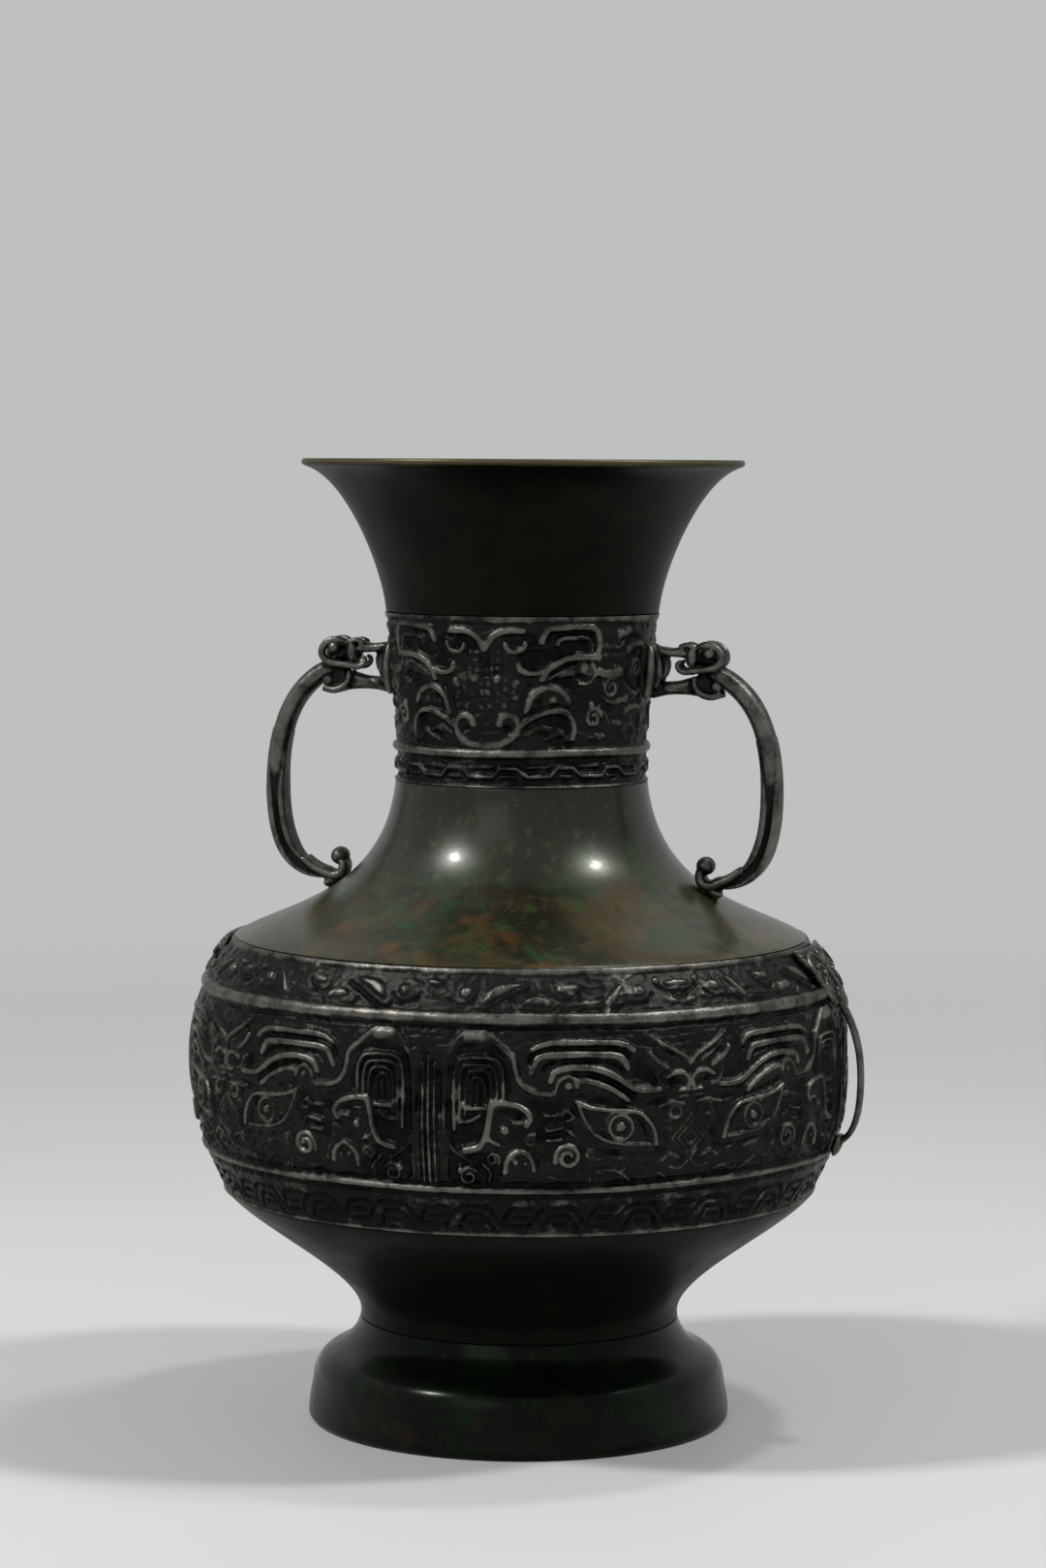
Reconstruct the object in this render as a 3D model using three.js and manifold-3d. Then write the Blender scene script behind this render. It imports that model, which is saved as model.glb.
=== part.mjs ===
// Bronze vase in an archaic style: cast ring sections joined at rebated seams, a floor plate, and
// riveted handles. Millimetres, +Z up. The origin is the centre of the foot's underside. The
// handles lie along X, and the front of the vase faces -Y.
import * as THREE from 'three';
import { mergeVertices } from 'three/addons/utils/BufferGeometryUtils.js';
import Module from 'manifold-3d';

const wasm = await Module();
wasm.setup();

// Heights of the cast sections, from the table up
const footHeight = 35;
const bowlHeight = 45.5;
const bellyHeight = 86.4;
const shoulderHeight = 53.6;
const neckHeight = 57.3;
const mouthHeight = 52.2;

// Outer radii at the seams and at the widest and narrowest places
const footRadius = 72.6;
const waistRadius = 54.8;
const bowlRadius = 102;
const bellyRadius = 112.7;
const shoulderRadius = 98.6;
const throatRadius = 43.7;
const neckTopRadius = 47.2;
const mouthRadius = 75.6;

// Walls: plain sections are thinner than the ones that carry relief
const plainWall = 2.8;
const reliefWall = 3.4;
const footWall = 3.2;
const lipThickness = 2.6;

// Foot: a nearly upright wall with a rounded lower edge, then a dome up to the waist
const footEdgeRadius = 1.6;
const domeStartHeight = 14.5;
const domeStartRadius = 70.9;
const standingRimWidth = 6.5;
const standingRimHeight = 4;

// Relief bands stand a little proud of the plain sections beside them
const bandProud = 0.5;
const ribProud = 0.6;
const ribWidth = 3.4;
const bellyUpperRibDrop = 14.6;
const bellyLowerRibRise = 16.2;
const neckBeadRise = 11.6;

// Belly: height of its widest place above its lower seam
const bellyWidestRise = 40.5;

// Seams: a tongue on one section enters the bore of the next
const seamGap = 0.3;
const neckLand = 3;
const bellyLand = 5;
const footLand = 3;
const tongueLength = 5;
const tongueWall = 1.8;
const tongueRoot = 4;

// Floor plate, dropped onto a ledge inside the bowl's lower tongue
const plateThickness = 3;
const ledgeWidth = 4;
const ledgeThickness = 2.4;

// Main forms of the cast ornament: the ground round them is sunk, and their tops stay level with
// the ribs' feet. The ornament is turned a little from the handles' line, as it was cast.
const reliefDepth = 0.9;
const groundMargin = 0.5;
const bellyMasks = 4;
const neckMasks = 2;
const ornamentTurn = -1.4;
const neckBorder = 2.6;
const landingMargin = 1.5;

// Neck handles: a beast's head on the neck, a bowed strap, and a curl that rests on the shoulder.
// Reaches are measured out from the throat's radius, and rises up from the neck band's lower seam.
const headRise = 38;
const headLength = 28.3;
const headWidth = 9;
const browHeight = 8.2;
const jawDrop = 11;
const manePlateWidth = 16;
const manePlateReach = 7.3;
const strapStartReach = 25.8;
const strapStartRise = 40.5;
const strapBowReach = 47.1;
const strapBowDrop = 3.5;
const strapEndReach = 23.8;
const handleWidth = 10;
const handleThickness = 6.4;
const strapEndThickness = 4;
const curlRise = 8.7;
const curlReach = 5.9;
const curlThickness = 3.4;
const knobRadius = 3.4;
const hornRadius = 4.4;
const hornWidth = 12.4;
const handleRounding = 1.5;

// Belly handles: a mask plate on the belly's upper slope with a thin loop below it. The loop's
// reach is measured from the belly's widest radius, and its rises up from the belly's lower seam.
const loopReach = 7;
const loopWidth = 6;
const loopThickness = 2;
const loopBowRise = 41.5;
const loopTopRise = 69;
const loopBottomRise = 17.9;
const loopPadWidth = 10;
const loopPadHeight = 7;
const loopPadThickness = 3.2;
const loopRounding = 0.5;
const maskThickness = 1.4;
const maskUpperWidth = 38;
const maskLowerWidth = 21;
const maskHeight = 18.2;
const maskEdgeDrop = 1.2;

// Rivets, headed inside the vase
const rivetRadius = 1.6;
const rivetHeadRadius = 3.2;
const rivetHeadHeight = 1.4;
const rivetRecess = 0.9;
const rivetClearance = 0.3;
const headRivetDepth = 5;
const curlRivetDepth = 3.2;
const loopRivetDepth = 2.2;

// Facets
const turns = 36;
const roundTurns = 12;

const bowlBase = footHeight;
const bellyBase = bowlBase + bowlHeight;
const shoulderBase = bellyBase + bellyHeight;
const neckBase = shoulderBase + shoulderHeight;
const mouthBase = neckBase + neckHeight;
const rimLevel = mouthBase + mouthHeight;

const at = (radius, height) => new THREE.Vector2(radius, height);

// A smooth outline between two points. An angle of 0 heads outwards and 90 heads up, and a pull is
// the length of the control arm at that end as a share of the distance between the points.
function sweep(start, startAngle, startPull, end, endAngle, endPull, steps) {
  const reach = start.distanceTo(end);
  const arm = (angle, pull) => {
    const heading = THREE.MathUtils.degToRad(angle);
    return at(Math.cos(heading), Math.sin(heading)).multiplyScalar(pull * reach);
  };
  const leave = start.clone().add(arm(startAngle, startPull));
  const arrive = end.clone().sub(arm(endAngle, endPull));
  return new THREE.CubicBezierCurve(start, leave, arrive, end).getSpacedPoints(steps);
}

// The outline moved sideways: to its left as it is walked when distance is positive. The distance
// may change evenly on the way to another one at the end.
function shifted(outline, distance, endDistance = distance) {
  const last = outline.length - 1;
  return outline.map((point, i) => {
    const before = outline[Math.max(i - 1, 0)];
    const after = outline[Math.min(i + 1, last)];
    const along = after.clone().sub(before).normalize();
    const here = THREE.MathUtils.lerp(distance, endDistance, i / last);
    return at(point.x - along.y * here, point.y + along.x * here);
  });
}

// A closed geometry as a solid that can be joined and cut.
function solid(geometry) {
  geometry.deleteAttribute('normal');
  geometry.deleteAttribute('uv');
  const merged = mergeVertices(geometry);
  const index = merged.index.array;
  const corners = [];
  for (let i = 0; i < index.length; i += 3) {
    const [a, b, c] = [index[i], index[i + 1], index[i + 2]];
    if (a !== b && b !== c && c !== a) corners.push(a, b, c);
  }
  return new wasm.Manifold(new wasm.Mesh({
    numProp: 3,
    vertProperties: Float32Array.from(merged.attributes.position.array),
    triVerts: Uint32Array.from(corners),
  }));
}

// The solid swept by an outline turned about Z. The outline runs upwards.
function turned(outline, facets = turns) {
  const first = outline[0];
  const last = outline[outline.length - 1];
  const lathe = new THREE.LatheGeometry([at(0, first.y), ...outline, at(0, last.y)], facets);
  lathe.rotateX(Math.PI / 2);
  return solid(lathe);
}

function disc(radius, low, high, facets = turns) {
  return turned([at(radius, low), at(radius, high)], facets);
}

function ring(innerRadius, outerRadius, low, high) {
  return disc(outerRadius, low, high).subtract(disc(innerRadius, low - seamGap, high + seamGap));
}

// A slab with its outline in the plane of X and Z, centred on Y, with rounded edges.
function slab(outline, width, rounding) {
  const geometry = new THREE.ExtrudeGeometry(new THREE.Shape(outline), {
    depth: width - 2 * rounding,
    bevelEnabled: rounding > 0,
    bevelThickness: rounding,
    bevelSize: rounding,
    bevelOffset: -rounding,
    bevelSegments: 1,
    steps: 1,
  });
  geometry.translate(0, 0, rounding - width / 2);
  geometry.rotateX(Math.PI / 2);
  return solid(geometry);
}

// The joint between two sections: the seat is the bore's radius, and the tongue fits inside it.
function seam(level, outerRadius, land) {
  const seat = outerRadius - land;
  const tongueOuter = seat - seamGap;
  return { level, outerRadius, seat, tongueOuter, tongueInner: tongueOuter - tongueWall };
}

const footSeam = seam(bowlBase, waistRadius, footLand);
const bowlSeam = seam(bellyBase, bowlRadius, bellyLand);
const bellySeam = seam(shoulderBase, shoulderRadius, bellyLand);
const throatSeam = seam(neckBase, throatRadius, neckLand);
const mouthSeam = seam(mouthBase, neckTopRadius, neckLand);

// The wall between an outline and its inner face, open at both ends. The inner face is cast
// plainer than the outer one, so it follows the smooth outline, without ribs.
function wallOf(outline, thickness, smoothOutline = outline) {
  const inner = shifted(smoothOutline, thickness);
  const hollow = turned([
    at(inner[0].x, outline[0].y - thickness),
    ...inner,
    at(inner.at(-1).x, outline.at(-1).y + thickness),
  ]);
  return turned(outline).subtract(hollow);
}

// Thickens a wall behind its flat end at a seam. The wall lies above the seam (1) or below it (-1).
function collar(outline, joint, innerRadius, direction) {
  const root = joint.level + direction * tongueRoot;
  const low = Math.min(joint.level, root);
  const high = Math.max(joint.level, root);
  return ring(innerRadius, joint.outerRadius, low, high).intersect(turned(outline));
}

function withSocket(wall, outline, joint, direction) {
  const depth = tongueLength + seamGap;
  const bore = disc(joint.seat, joint.level - depth, joint.level + depth);
  return wall.add(collar(outline, joint, joint.seat, direction)).subtract(bore);
}

function withTongue(wall, outline, joint, direction) {
  const tip = joint.level - direction * tongueLength;
  const inside = joint.level + direction * 2 * seamGap;
  const tongue = ring(joint.tongueInner, joint.tongueOuter, Math.min(tip, inside), Math.max(tip, inside));
  return wall.add(collar(outline, joint, joint.tongueInner, direction)).add(tongue);
}

// A half-round rib laid on an outline, as three points that replace the outline there.
function ribbed(outline, height) {
  const low = height - ribWidth / 2;
  const high = height + ribWidth / 2;
  const below = outline.filter((point) => point.y < low - seamGap);
  const above = outline.filter((point) => point.y > high + seamGap);
  const rib = [
    at(radiusAt(outline, low), low),
    at(radiusAt(outline, height - ribWidth / 4) + ribProud, height - ribWidth / 4),
    at(radiusAt(outline, height + ribWidth / 4) + ribProud, height + ribWidth / 4),
    at(radiusAt(outline, high), high),
  ];
  return [...below, ...rib, ...above];
}

// Where an outline stands at a height, and which way its outer face looks, 0 being outwards.
function faceAt(outline, height) {
  const upper = outline.findIndex((point, i) => i > 0 && point.y >= height);
  const to = outline[upper === -1 ? outline.length - 1 : upper];
  const from = outline[upper === -1 ? outline.length - 2 : upper - 1];
  const share = (height - from.y) / (to.y - from.y);
  const along = to.clone().sub(from);
  return { point: from.clone().lerp(to, share), tilt: Math.atan2(-along.x, along.y) };
}

function radiusAt(outline, height) {
  return faceAt(outline, height).point.x;
}

// The height at which an outline that narrows upwards passes a radius.
function heightAt(outline, radius) {
  const upper = outline.findIndex((point, i) => i > 0 && point.x <= radius);
  const [from, to] = [outline[upper - 1], outline[upper]];
  return from.y + (to.y - from.y) * (radius - from.x) / (to.x - from.x);
}

// A prism that stands out from the axis at an angle, measured from the front towards +X. Its
// outline is given along the wall and up it.
function standingOut(outline, angle) {
  const depth = 2 * bellyRadius;
  const prism = new THREE.ExtrudeGeometry(new THREE.Shape(outline), { depth, bevelEnabled: false });
  return solid(prism.rotateX(Math.PI / 2)).rotate([0, 0, angle]);
}

// All the copies of one form of a band, on both sides of each mask. Its corners are shares: along
// from the line where the ornament starts to the line that it is mirrored on, and up the band.
function copies(corners, band) {
  const half = 180 / band.masks;
  const length = THREE.MathUtils.degToRad(half) * band.radius;
  const middle = corners.reduce((sum, [along]) => sum + along, 0) / corners.length;
  const starts = Array.from({ length: band.masks }, (_, i) => ornamentTurn + i * 2 * half);
  return starts.flatMap((start) => [1, -1].map((way) => standingOut(
    corners.map(([along, up]) => at(
      way * (along - middle) * length, THREE.MathUtils.lerp(band.low, band.high, up))),
    start + way * middle * half)));
}

// A place left level for a handle to sit on, on both sides of the vase
function landings(width, low, high) {
  const half = width / 2 + landingMargin;
  const outline = [at(-half, low), at(half, low), at(half, high), at(-half, high)];
  return [90, 270].map((angle) => standingOut(outline, angle));
}

// Sinks the ground of a band, leaving its forms standing.
function sunk(wall, outline, band, forms) {
  const ground = disc(band.radius + reliefDepth, band.low, band.high)
    .subtract(turned(shifted(outline, reliefDepth)));
  return wall.subtract(ground.subtract(wasm.Manifold.union(forms)));
}

const footOutline = [
  at(footRadius - footEdgeRadius, 0),
  at(footRadius - footEdgeRadius / 3, footEdgeRadius / 3),
  at(footRadius, footEdgeRadius),
  ...sweep(at(domeStartRadius, domeStartHeight), 96, 0.49, at(waistRadius, footHeight), 105, 0.54, 7),
];
const bowlOutline = sweep(
  at(waistRadius, bowlBase + seamGap), 101, 0.23, at(bowlRadius - bandProud, bellyBase), 52, 0.24, 8);
const bellyWidest = at(bellyRadius, bellyBase + bellyWidestRise);
const bellyBarrel = [
  ...sweep(at(bowlRadius, bellyBase + seamGap), 64, 0.43, bellyWidest, 90, 0.42, 5),
  ...sweep(bellyWidest, 93, 0.42, at(shoulderRadius, shoulderBase), 131, 0.55, 7).slice(1),
];
const bellyOutline = ribbed(
  ribbed(bellyBarrel, bellyBase + bellyLowerRibRise), shoulderBase - bellyUpperRibDrop);
const shoulderOutline = sweep(
  at(shoulderRadius - bandProud, shoulderBase + seamGap), 149.5, 0.25,
  at(throatRadius - bandProud, neckBase), 95.6, 0.52, 10);
const neckTube = sweep(
  at(throatRadius, neckBase + seamGap), 91, 0.36, at(neckTopRadius, mouthBase), 84, 0.37, 4);
const neckOutline = ribbed(neckTube, neckBase + neckBeadRise);
const lipUnderside = at(mouthRadius - lipThickness / 2, rimLevel - lipThickness);
const flareOutline = sweep(
  at(neckTopRadius - bandProud, mouthBase + seamGap), 85, 0.25, lipUnderside, 16, 0.26, 8);
const mouthOutline = [
  ...flareOutline,
  at(mouthRadius, rimLevel - lipThickness * 0.7),
  at(mouthRadius, rimLevel - lipThickness * 0.2),
  at(mouthRadius - lipThickness * 0.2, rimLevel),
];

// The foot: hollow below, with a thick rim to stand on and a socket for the bowl
const standingRim = ring(footRadius - standingRimWidth, footRadius, 0, standingRimHeight)
  .intersect(turned(footOutline));
const footWalls = wallOf(footOutline, footWall).add(standingRim);
const footRing = withSocket(footWalls, footOutline, footSeam, -1);

// The bowl: tongues down into the foot and up into the belly, and a ledge for the floor plate
const ledgeLevel = bowlBase - tongueLength;
const ledge = ring(
  footSeam.tongueInner - ledgeWidth, footSeam.tongueOuter, ledgeLevel, ledgeLevel + ledgeThickness);
const bowlOnFoot = withTongue(wallOf(bowlOutline, plainWall), bowlOutline, footSeam, 1).add(ledge);
const lowerBowl = withTongue(bowlOnFoot, bowlOutline, bowlSeam, -1);

const plateLevel = ledgeLevel + ledgeThickness + seamGap;
const basePlate = disc(footSeam.tongueInner - seamGap, plateLevel, plateLevel + plateThickness);

// The belly takes the bowl's tongue from below and the shoulder's from above
const bellyOnBowl = withSocket(
  wallOf(bellyOutline, reliefWall, bellyBarrel), bellyOutline, bowlSeam, 1);
const bellyBlank = withSocket(bellyOnBowl, bellyOutline, bellySeam, -1);

// The belly's masks, from the seam between two masks to the middle of one
const bellyBand = {
  masks: bellyMasks,
  radius: bellyRadius,
  low: bellyBase + bellyLowerRibRise + ribWidth / 2 + groundMargin,
  high: shoulderBase - bellyUpperRibDrop - ribWidth / 2 - groundMargin,
};
const coil = [
  [0.055, 0.04], [0.055, 0.74], [0.08, 0.85], [0.14, 0.96], [0.22, 0.96], [0.31, 0.82], [0.33, 0.66],
  [0.27, 0.53], [0.235, 0.33], [0.18, 0.23], [0.12, 0.19]];
const upperBrow = [
  [0.375, 0.7], [0.395, 0.82], [0.44, 0.895], [0.72, 0.895], [0.76, 0.83], [0.735, 0.74], [0.69, 0.78],
  [0.445, 0.78], [0.415, 0.7]];
const lowerBrow = [
  [0.45, 0.64], [0.48, 0.73], [0.62, 0.74], [0.755, 0.63], [0.87, 0.6], [0.865, 0.55], [0.76, 0.54],
  [0.64, 0.6], [0.52, 0.58]];
const eye = [
  [0.545, 0.52], [0.65, 0.49], [0.765, 0.47], [0.825, 0.4], [0.855, 0.25], [0.66, 0.25], [0.6, 0.33]];
const curledLip = [
  [0.25, 0.53], [0.32, 0.52], [0.38, 0.46], [0.365, 0.37], [0.335, 0.4], [0.325, 0.45], [0.255, 0.48]];
const cheekDisc = [
  [0.455, 0.18], [0.482, 0.26], [0.54, 0.26], [0.567, 0.18], [0.54, 0.1], [0.482, 0.1]];
const crest = [
  [0.9, 0.66], [0.94, 0.7], [1.01, 0.69], [1.01, 0.56], [0.955, 0.5], [0.945, 0.61]];
const bellyForms = [coil, upperBrow, lowerBrow, eye, curledLip, cheekDisc, crest]
  .flatMap((corners) => copies(corners, bellyBand));

const shoulderOnBelly = withTongue(
  wallOf(shoulderOutline, plainWall), shoulderOutline, bellySeam, 1);
const shoulderWall = withSocket(shoulderOnBelly, shoulderOutline, throatSeam, -1);

const neckOnShoulder = withTongue(
  wallOf(neckOutline, reliefWall, neckTube), neckOutline, throatSeam, 1);
const neckBlank = withSocket(neckOnShoulder, neckOutline, mouthSeam, -1);

// The neck's masks, from the middle of one at the front to the line under a handle
const neckBand = {
  masks: neckMasks,
  radius: neckTopRadius,
  low: neckBase + neckBeadRise + ribWidth / 2 + groundMargin,
  high: mouthBase - neckBorder,
};
const neckBrow = [[0.26, 0.83], [0.29, 0.98], [0.53, 0.98], [0.565, 0.86], [0.55, 0.76], [0.36, 0.76]];
const neckEye = [
  [0.275, 0.54], [0.31, 0.65], [0.42, 0.73], [0.55, 0.74], [0.56, 0.61], [0.52, 0.5], [0.36, 0.52]];
const nostril = [[0.19, 0.27], [0.23, 0.43], [0.3, 0.5], [0.36, 0.49], [0.42, 0.38], [0.35, 0.34]];
const jowl = [
  [0.17, 0.15], [0.22, 0.24], [0.34, 0.3], [0.41, 0.26], [0.445, 0.14], [0.42, 0.06], [0.3, 0.09]];
const muzzle = [
  [-0.01, 0.02], [0.09, 0.02], [0.15, 0.08], [0.175, 0.17], [0.15, 0.26], [0.1, 0.28], [-0.01, 0.2]];
const forehead = [
  [-0.01, 0.8], [0.02, 0.9], [0.08, 0.96], [0.18, 0.96], [0.2, 0.82], [0.13, 0.76], [0.03, 0.7]];
const neckForms = [neckBrow, neckEye, nostril, jowl, muzzle, forehead]
  .flatMap((corners) => copies(corners, neckBand));

// The mouth: its inner face is carried on past the lip
const flareWall = turned(mouthOutline).subtract(turned([
  at(neckTopRadius - bandProud - plainWall, mouthBase),
  ...shifted(flareOutline, plainWall).slice(1),
  at(lipUnderside.x - lipThickness / 4, rimLevel + lipThickness),
]));
const mouthFlare = withTongue(flareWall, mouthOutline, mouthSeam, 1);

// A rivet's axis lies in the plane of X and Z, square to the wall it passes through. Its own shape
// is turned about Z, with the wall's outer face at 0 and the handle above.
function rivetSpot(outline, height, wall, depth) {
  const { point, tilt } = faceAt(outline, height);
  return { point, tilt, wall, depth };
}

function placed(shape, spot) {
  const lean = 90 - THREE.MathUtils.radToDeg(spot.tilt);
  return shape.rotate([0, lean, 0]).translate([spot.point.x, 0, spot.point.y]);
}

// The head sits in a shallow round recess, cut flat into the wall's inner face.
const recessFloor = (spot) => rivetRecess - spot.wall;

function rivet(spot) {
  const seat = recessFloor(spot) - seamGap;
  const outline = [
    at(rivetHeadRadius / 2, seat - rivetHeadHeight),
    at(rivetHeadRadius, seat - rivetHeadHeight / 2),
    at(rivetHeadRadius, seat),
    at(rivetRadius, seat),
    at(rivetRadius, spot.depth - seamGap),
  ];
  return placed(turned(outline, roundTurns), spot);
}

function rivetHole(spot) {
  const recess = disc(
    rivetHeadRadius + rivetClearance, -2 * spot.wall - rivetHeadHeight, recessFloor(spot), roundTurns);
  const shank = disc(rivetRadius + rivetClearance, recessFloor(spot) - seamGap, spot.depth, roundTurns);
  return placed(recess.add(shank), spot);
}

// The ground is sunk, but not under the handles
const maskTop = shoulderBase - maskEdgeDrop;
const maskBottom = maskTop - maskHeight;
const loopBottom = bellyBase + loopBottomRise;
const bellyWall = sunk(bellyBlank, bellyBarrel, bellyBand, [
  ...bellyForms,
  ...landings(maskLowerWidth, maskBottom - landingMargin, shoulderBase),
  ...landings(loopPadWidth, bellyBase, loopBottom + loopPadHeight / 2 + landingMargin),
]);
const headHeight = neckBase + headRise;
const neckWall = sunk(neckBlank, neckTube, neckBand, [
  ...neckForms,
  ...landings(manePlateWidth, headHeight - jawDrop - landingMargin, mouthBase),
]);

// Everything a handle must stay clear of, grown by the gap
const neckClearance = turned([...shifted(shoulderOutline, -seamGap), ...shifted(neckOutline, -seamGap)]);
const bellyClearance = turned(shifted(bellyOutline, -seamGap));

const strapEndRadius = throatRadius + strapEndReach;
const shoulderUnderCurl = heightAt(shoulderOutline, strapEndRadius);
const headSpot = rivetSpot(neckTube, headHeight, reliefWall, headRivetDepth);
const curlSpot = rivetSpot(shoulderOutline, shoulderUnderCurl, plainWall, curlRivetDepth);

// The neck handle's strap bows out from the back of the head and comes back to the shoulder,
// thinner there
const strapTop = at(throatRadius + strapStartReach, neckBase + strapStartRise);
const strapBow = at(throatRadius + strapBowReach, neckBase - strapBowDrop);
const strapEnd = at(strapEndRadius, shoulderUnderCurl + seamGap);
const strapUpper = sweep(strapTop, -25, 0.44, strapBow, -90, 0.27, 9);
const strapLower = sweep(strapBow, -90, 0.38, strapEnd, -180, 0.45, 9);
const strap = slab([
  ...strapUpper,
  ...strapLower.slice(1),
  ...shifted(strapLower, -handleThickness, -strapEndThickness).reverse(),
  ...shifted(strapUpper, -handleThickness).reverse().slice(1),
], handleWidth, handleRounding);

// Its end turns up into a curl with a round knob
const curlTip = at(strapEnd.x - curlReach, strapEnd.y + curlRise);
const curlOuter = sweep(at(strapEnd.x + curlReach / 2, strapEnd.y), -180, 0.4, curlTip, 80, 0.4, 5);
const curl = slab(
  [...curlOuter, ...shifted(curlOuter, -curlThickness).reverse()], handleWidth, curlThickness / 4);
const knob = solid(new THREE.SphereGeometry(knobRadius, roundTurns, roundTurns / 2).rotateX(Math.PI / 2))
  .translate([curlTip.x + knobRadius, 0, curlTip.y + knobRadius / 3]);

// The head bites the neck: its open mouth goes right through, and a mane spreads over the neck.
// Points of the head are shares of its length and, from the jaw up to the brow, of its height.
const headRoot = -reliefWall / 2 / headLength;
const onHead = (along, up) => at(
  throatRadius + along * headLength,
  THREE.MathUtils.lerp(headHeight - jawDrop, headHeight + browHeight, up));
const head = slab([
  onHead(headRoot, 1),
  onHead(0.47, 1),
  onHead(0.58, 1.05),
  onHead(0.79, 1.03),
  onHead(0.98, 0.74),
  onHead(1, 0.48),
  onHead(0.79, 0.26),
  onHead(0.61, 0.05),
  onHead(0.43, 0),
  onHead(headRoot, 0.08),
], headWidth, handleRounding);
const bite = slab([
  onHead(0.28, 0.21),
  onHead(0.61, 0.21),
  onHead(0.68, 0.34),
  onHead(0.49, 0.55),
  onHead(0.44, 0.75),
  onHead(0.28, 0.75),
], 2 * headWidth, 0);
const maneEdge = manePlateReach / headLength;
const mane = slab([
  onHead(headRoot, 1.03),
  onHead(0.7 * maneEdge, 1.01),
  onHead(maneEdge, 0.74),
  onHead(0.92 * maneEdge, 0.16),
  onHead(0.6 * maneEdge, -0.08),
  onHead(headRoot, -0.08),
], manePlateWidth, handleRounding);
const hornPlace = onHead(0.79, 0.86);
const horn = disc(hornRadius, -hornWidth / 2, hornWidth / 2, roundTurns)
  .rotate([90, 0, 0])
  .translate([hornPlace.x, 0, hornPlace.y]);

const neckHandle = head
  .subtract(bite)
  .add(mane)
  .add(horn)
  .add(strap)
  .add(curl)
  .add(knob)
  .subtract(neckClearance)
  .subtract(rivetHole(headSpot))
  .subtract(rivetHole(curlSpot));

// The belly handle: a mask plate, wider at its top, with a loop that springs from its lower edge
// and comes back to the belly. A pad at each end of the loop takes a rivet.
const maskSkin = turned(shifted(bellyOutline, -seamGap - maskThickness)).subtract(bellyClearance);
const maskShape = new THREE.Shape([
  at(-maskLowerWidth / 2, maskBottom),
  at(maskLowerWidth / 2, maskBottom),
  at(maskUpperWidth / 2, maskTop),
  at(-maskUpperWidth / 2, maskTop),
]);
const maskCutter = solid(
  new THREE.ExtrudeGeometry(maskShape, { depth: 2 * bellyRadius, bevelEnabled: false })
    .rotateX(Math.PI / 2)
    .rotateZ(Math.PI / 2));
const mask = maskSkin.intersect(maskCutter);

const loopTop = bellyBase + loopTopRise;
const loopTopSpot = rivetSpot(bellyBarrel, loopTop, reliefWall, loopRivetDepth);
const loopBottomSpot = rivetSpot(bellyBarrel, loopBottom, reliefWall, loopRivetDepth);
const loopRoot = at(radiusAt(bellyOutline, loopTop), loopTop);
const loopBow = at(bellyRadius + loopReach, bellyBase + loopBowRise);
const loopFoot = at(radiusAt(bellyOutline, loopBottom), loopBottom);
const loopOuter = [
  ...sweep(loopRoot, -50, 0.3, loopBow, -90, 0.35, 7),
  ...sweep(loopBow, -90, 0.5, loopFoot, -165, 0.3, 8).slice(1),
];
const loop = slab([...loopOuter, ...shifted(loopOuter, -loopThickness).reverse()], loopWidth, loopRounding);
const pad = (spot) => solid(new THREE.BoxGeometry(2 * loopPadThickness, loopPadWidth, loopPadHeight))
  .rotate([0, -THREE.MathUtils.radToDeg(spot.tilt), 0])
  .translate([spot.point.x, 0, spot.point.y]);
const bellyHandle = mask
  .add(loop)
  .add(pad(loopTopSpot))
  .add(pad(loopBottomSpot))
  .subtract(bellyClearance)
  .subtract(rivetHole(loopTopSpot))
  .subtract(rivetHole(loopBottomSpot));

// Finishes
const finish = (color, roughness, metalness) => ({ color, roughness, metalness, flatShading: true });
const plainBronze = finish(0x2b2620, 0.35, 0.8);
const mottledBronze = finish(0x3a3a22, 0.3, 0.7);
const reliefBronze = finish(0x4a443c, 0.55, 0.8);
const footBronze = finish(0x2a2f22, 0.3, 0.75);
const rivetBronze = finish(0x6b5a3c, 0.5, 0.85);

function piece(name, shape, look) {
  const { numProp, vertProperties, triVerts } = shape.getMesh();
  const geometry = new THREE.BufferGeometry();
  geometry.setAttribute('position', new THREE.BufferAttribute(new Float32Array(vertProperties), numProp));
  geometry.setIndex(new THREE.BufferAttribute(new Uint32Array(triVerts), 1));
  const mesh = new THREE.Mesh(geometry, new THREE.MeshStandardMaterial(look));
  mesh.name = name;
  return mesh;
}

// Left-hand pieces are the right-hand ones turned half round the vase
const sides = [
  { side: 'right', turn: 0 },
  { side: 'left', turn: 180 },
];
const bothSides = (shape) => sides.map(({ turn }) => shape.rotate([0, 0, turn]));
const drilled = (wall, spots) => spots
  .flatMap((spot) => bothSides(rivetHole(spot)))
  .reduce((shape, hole) => shape.subtract(hole), wall);

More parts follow.
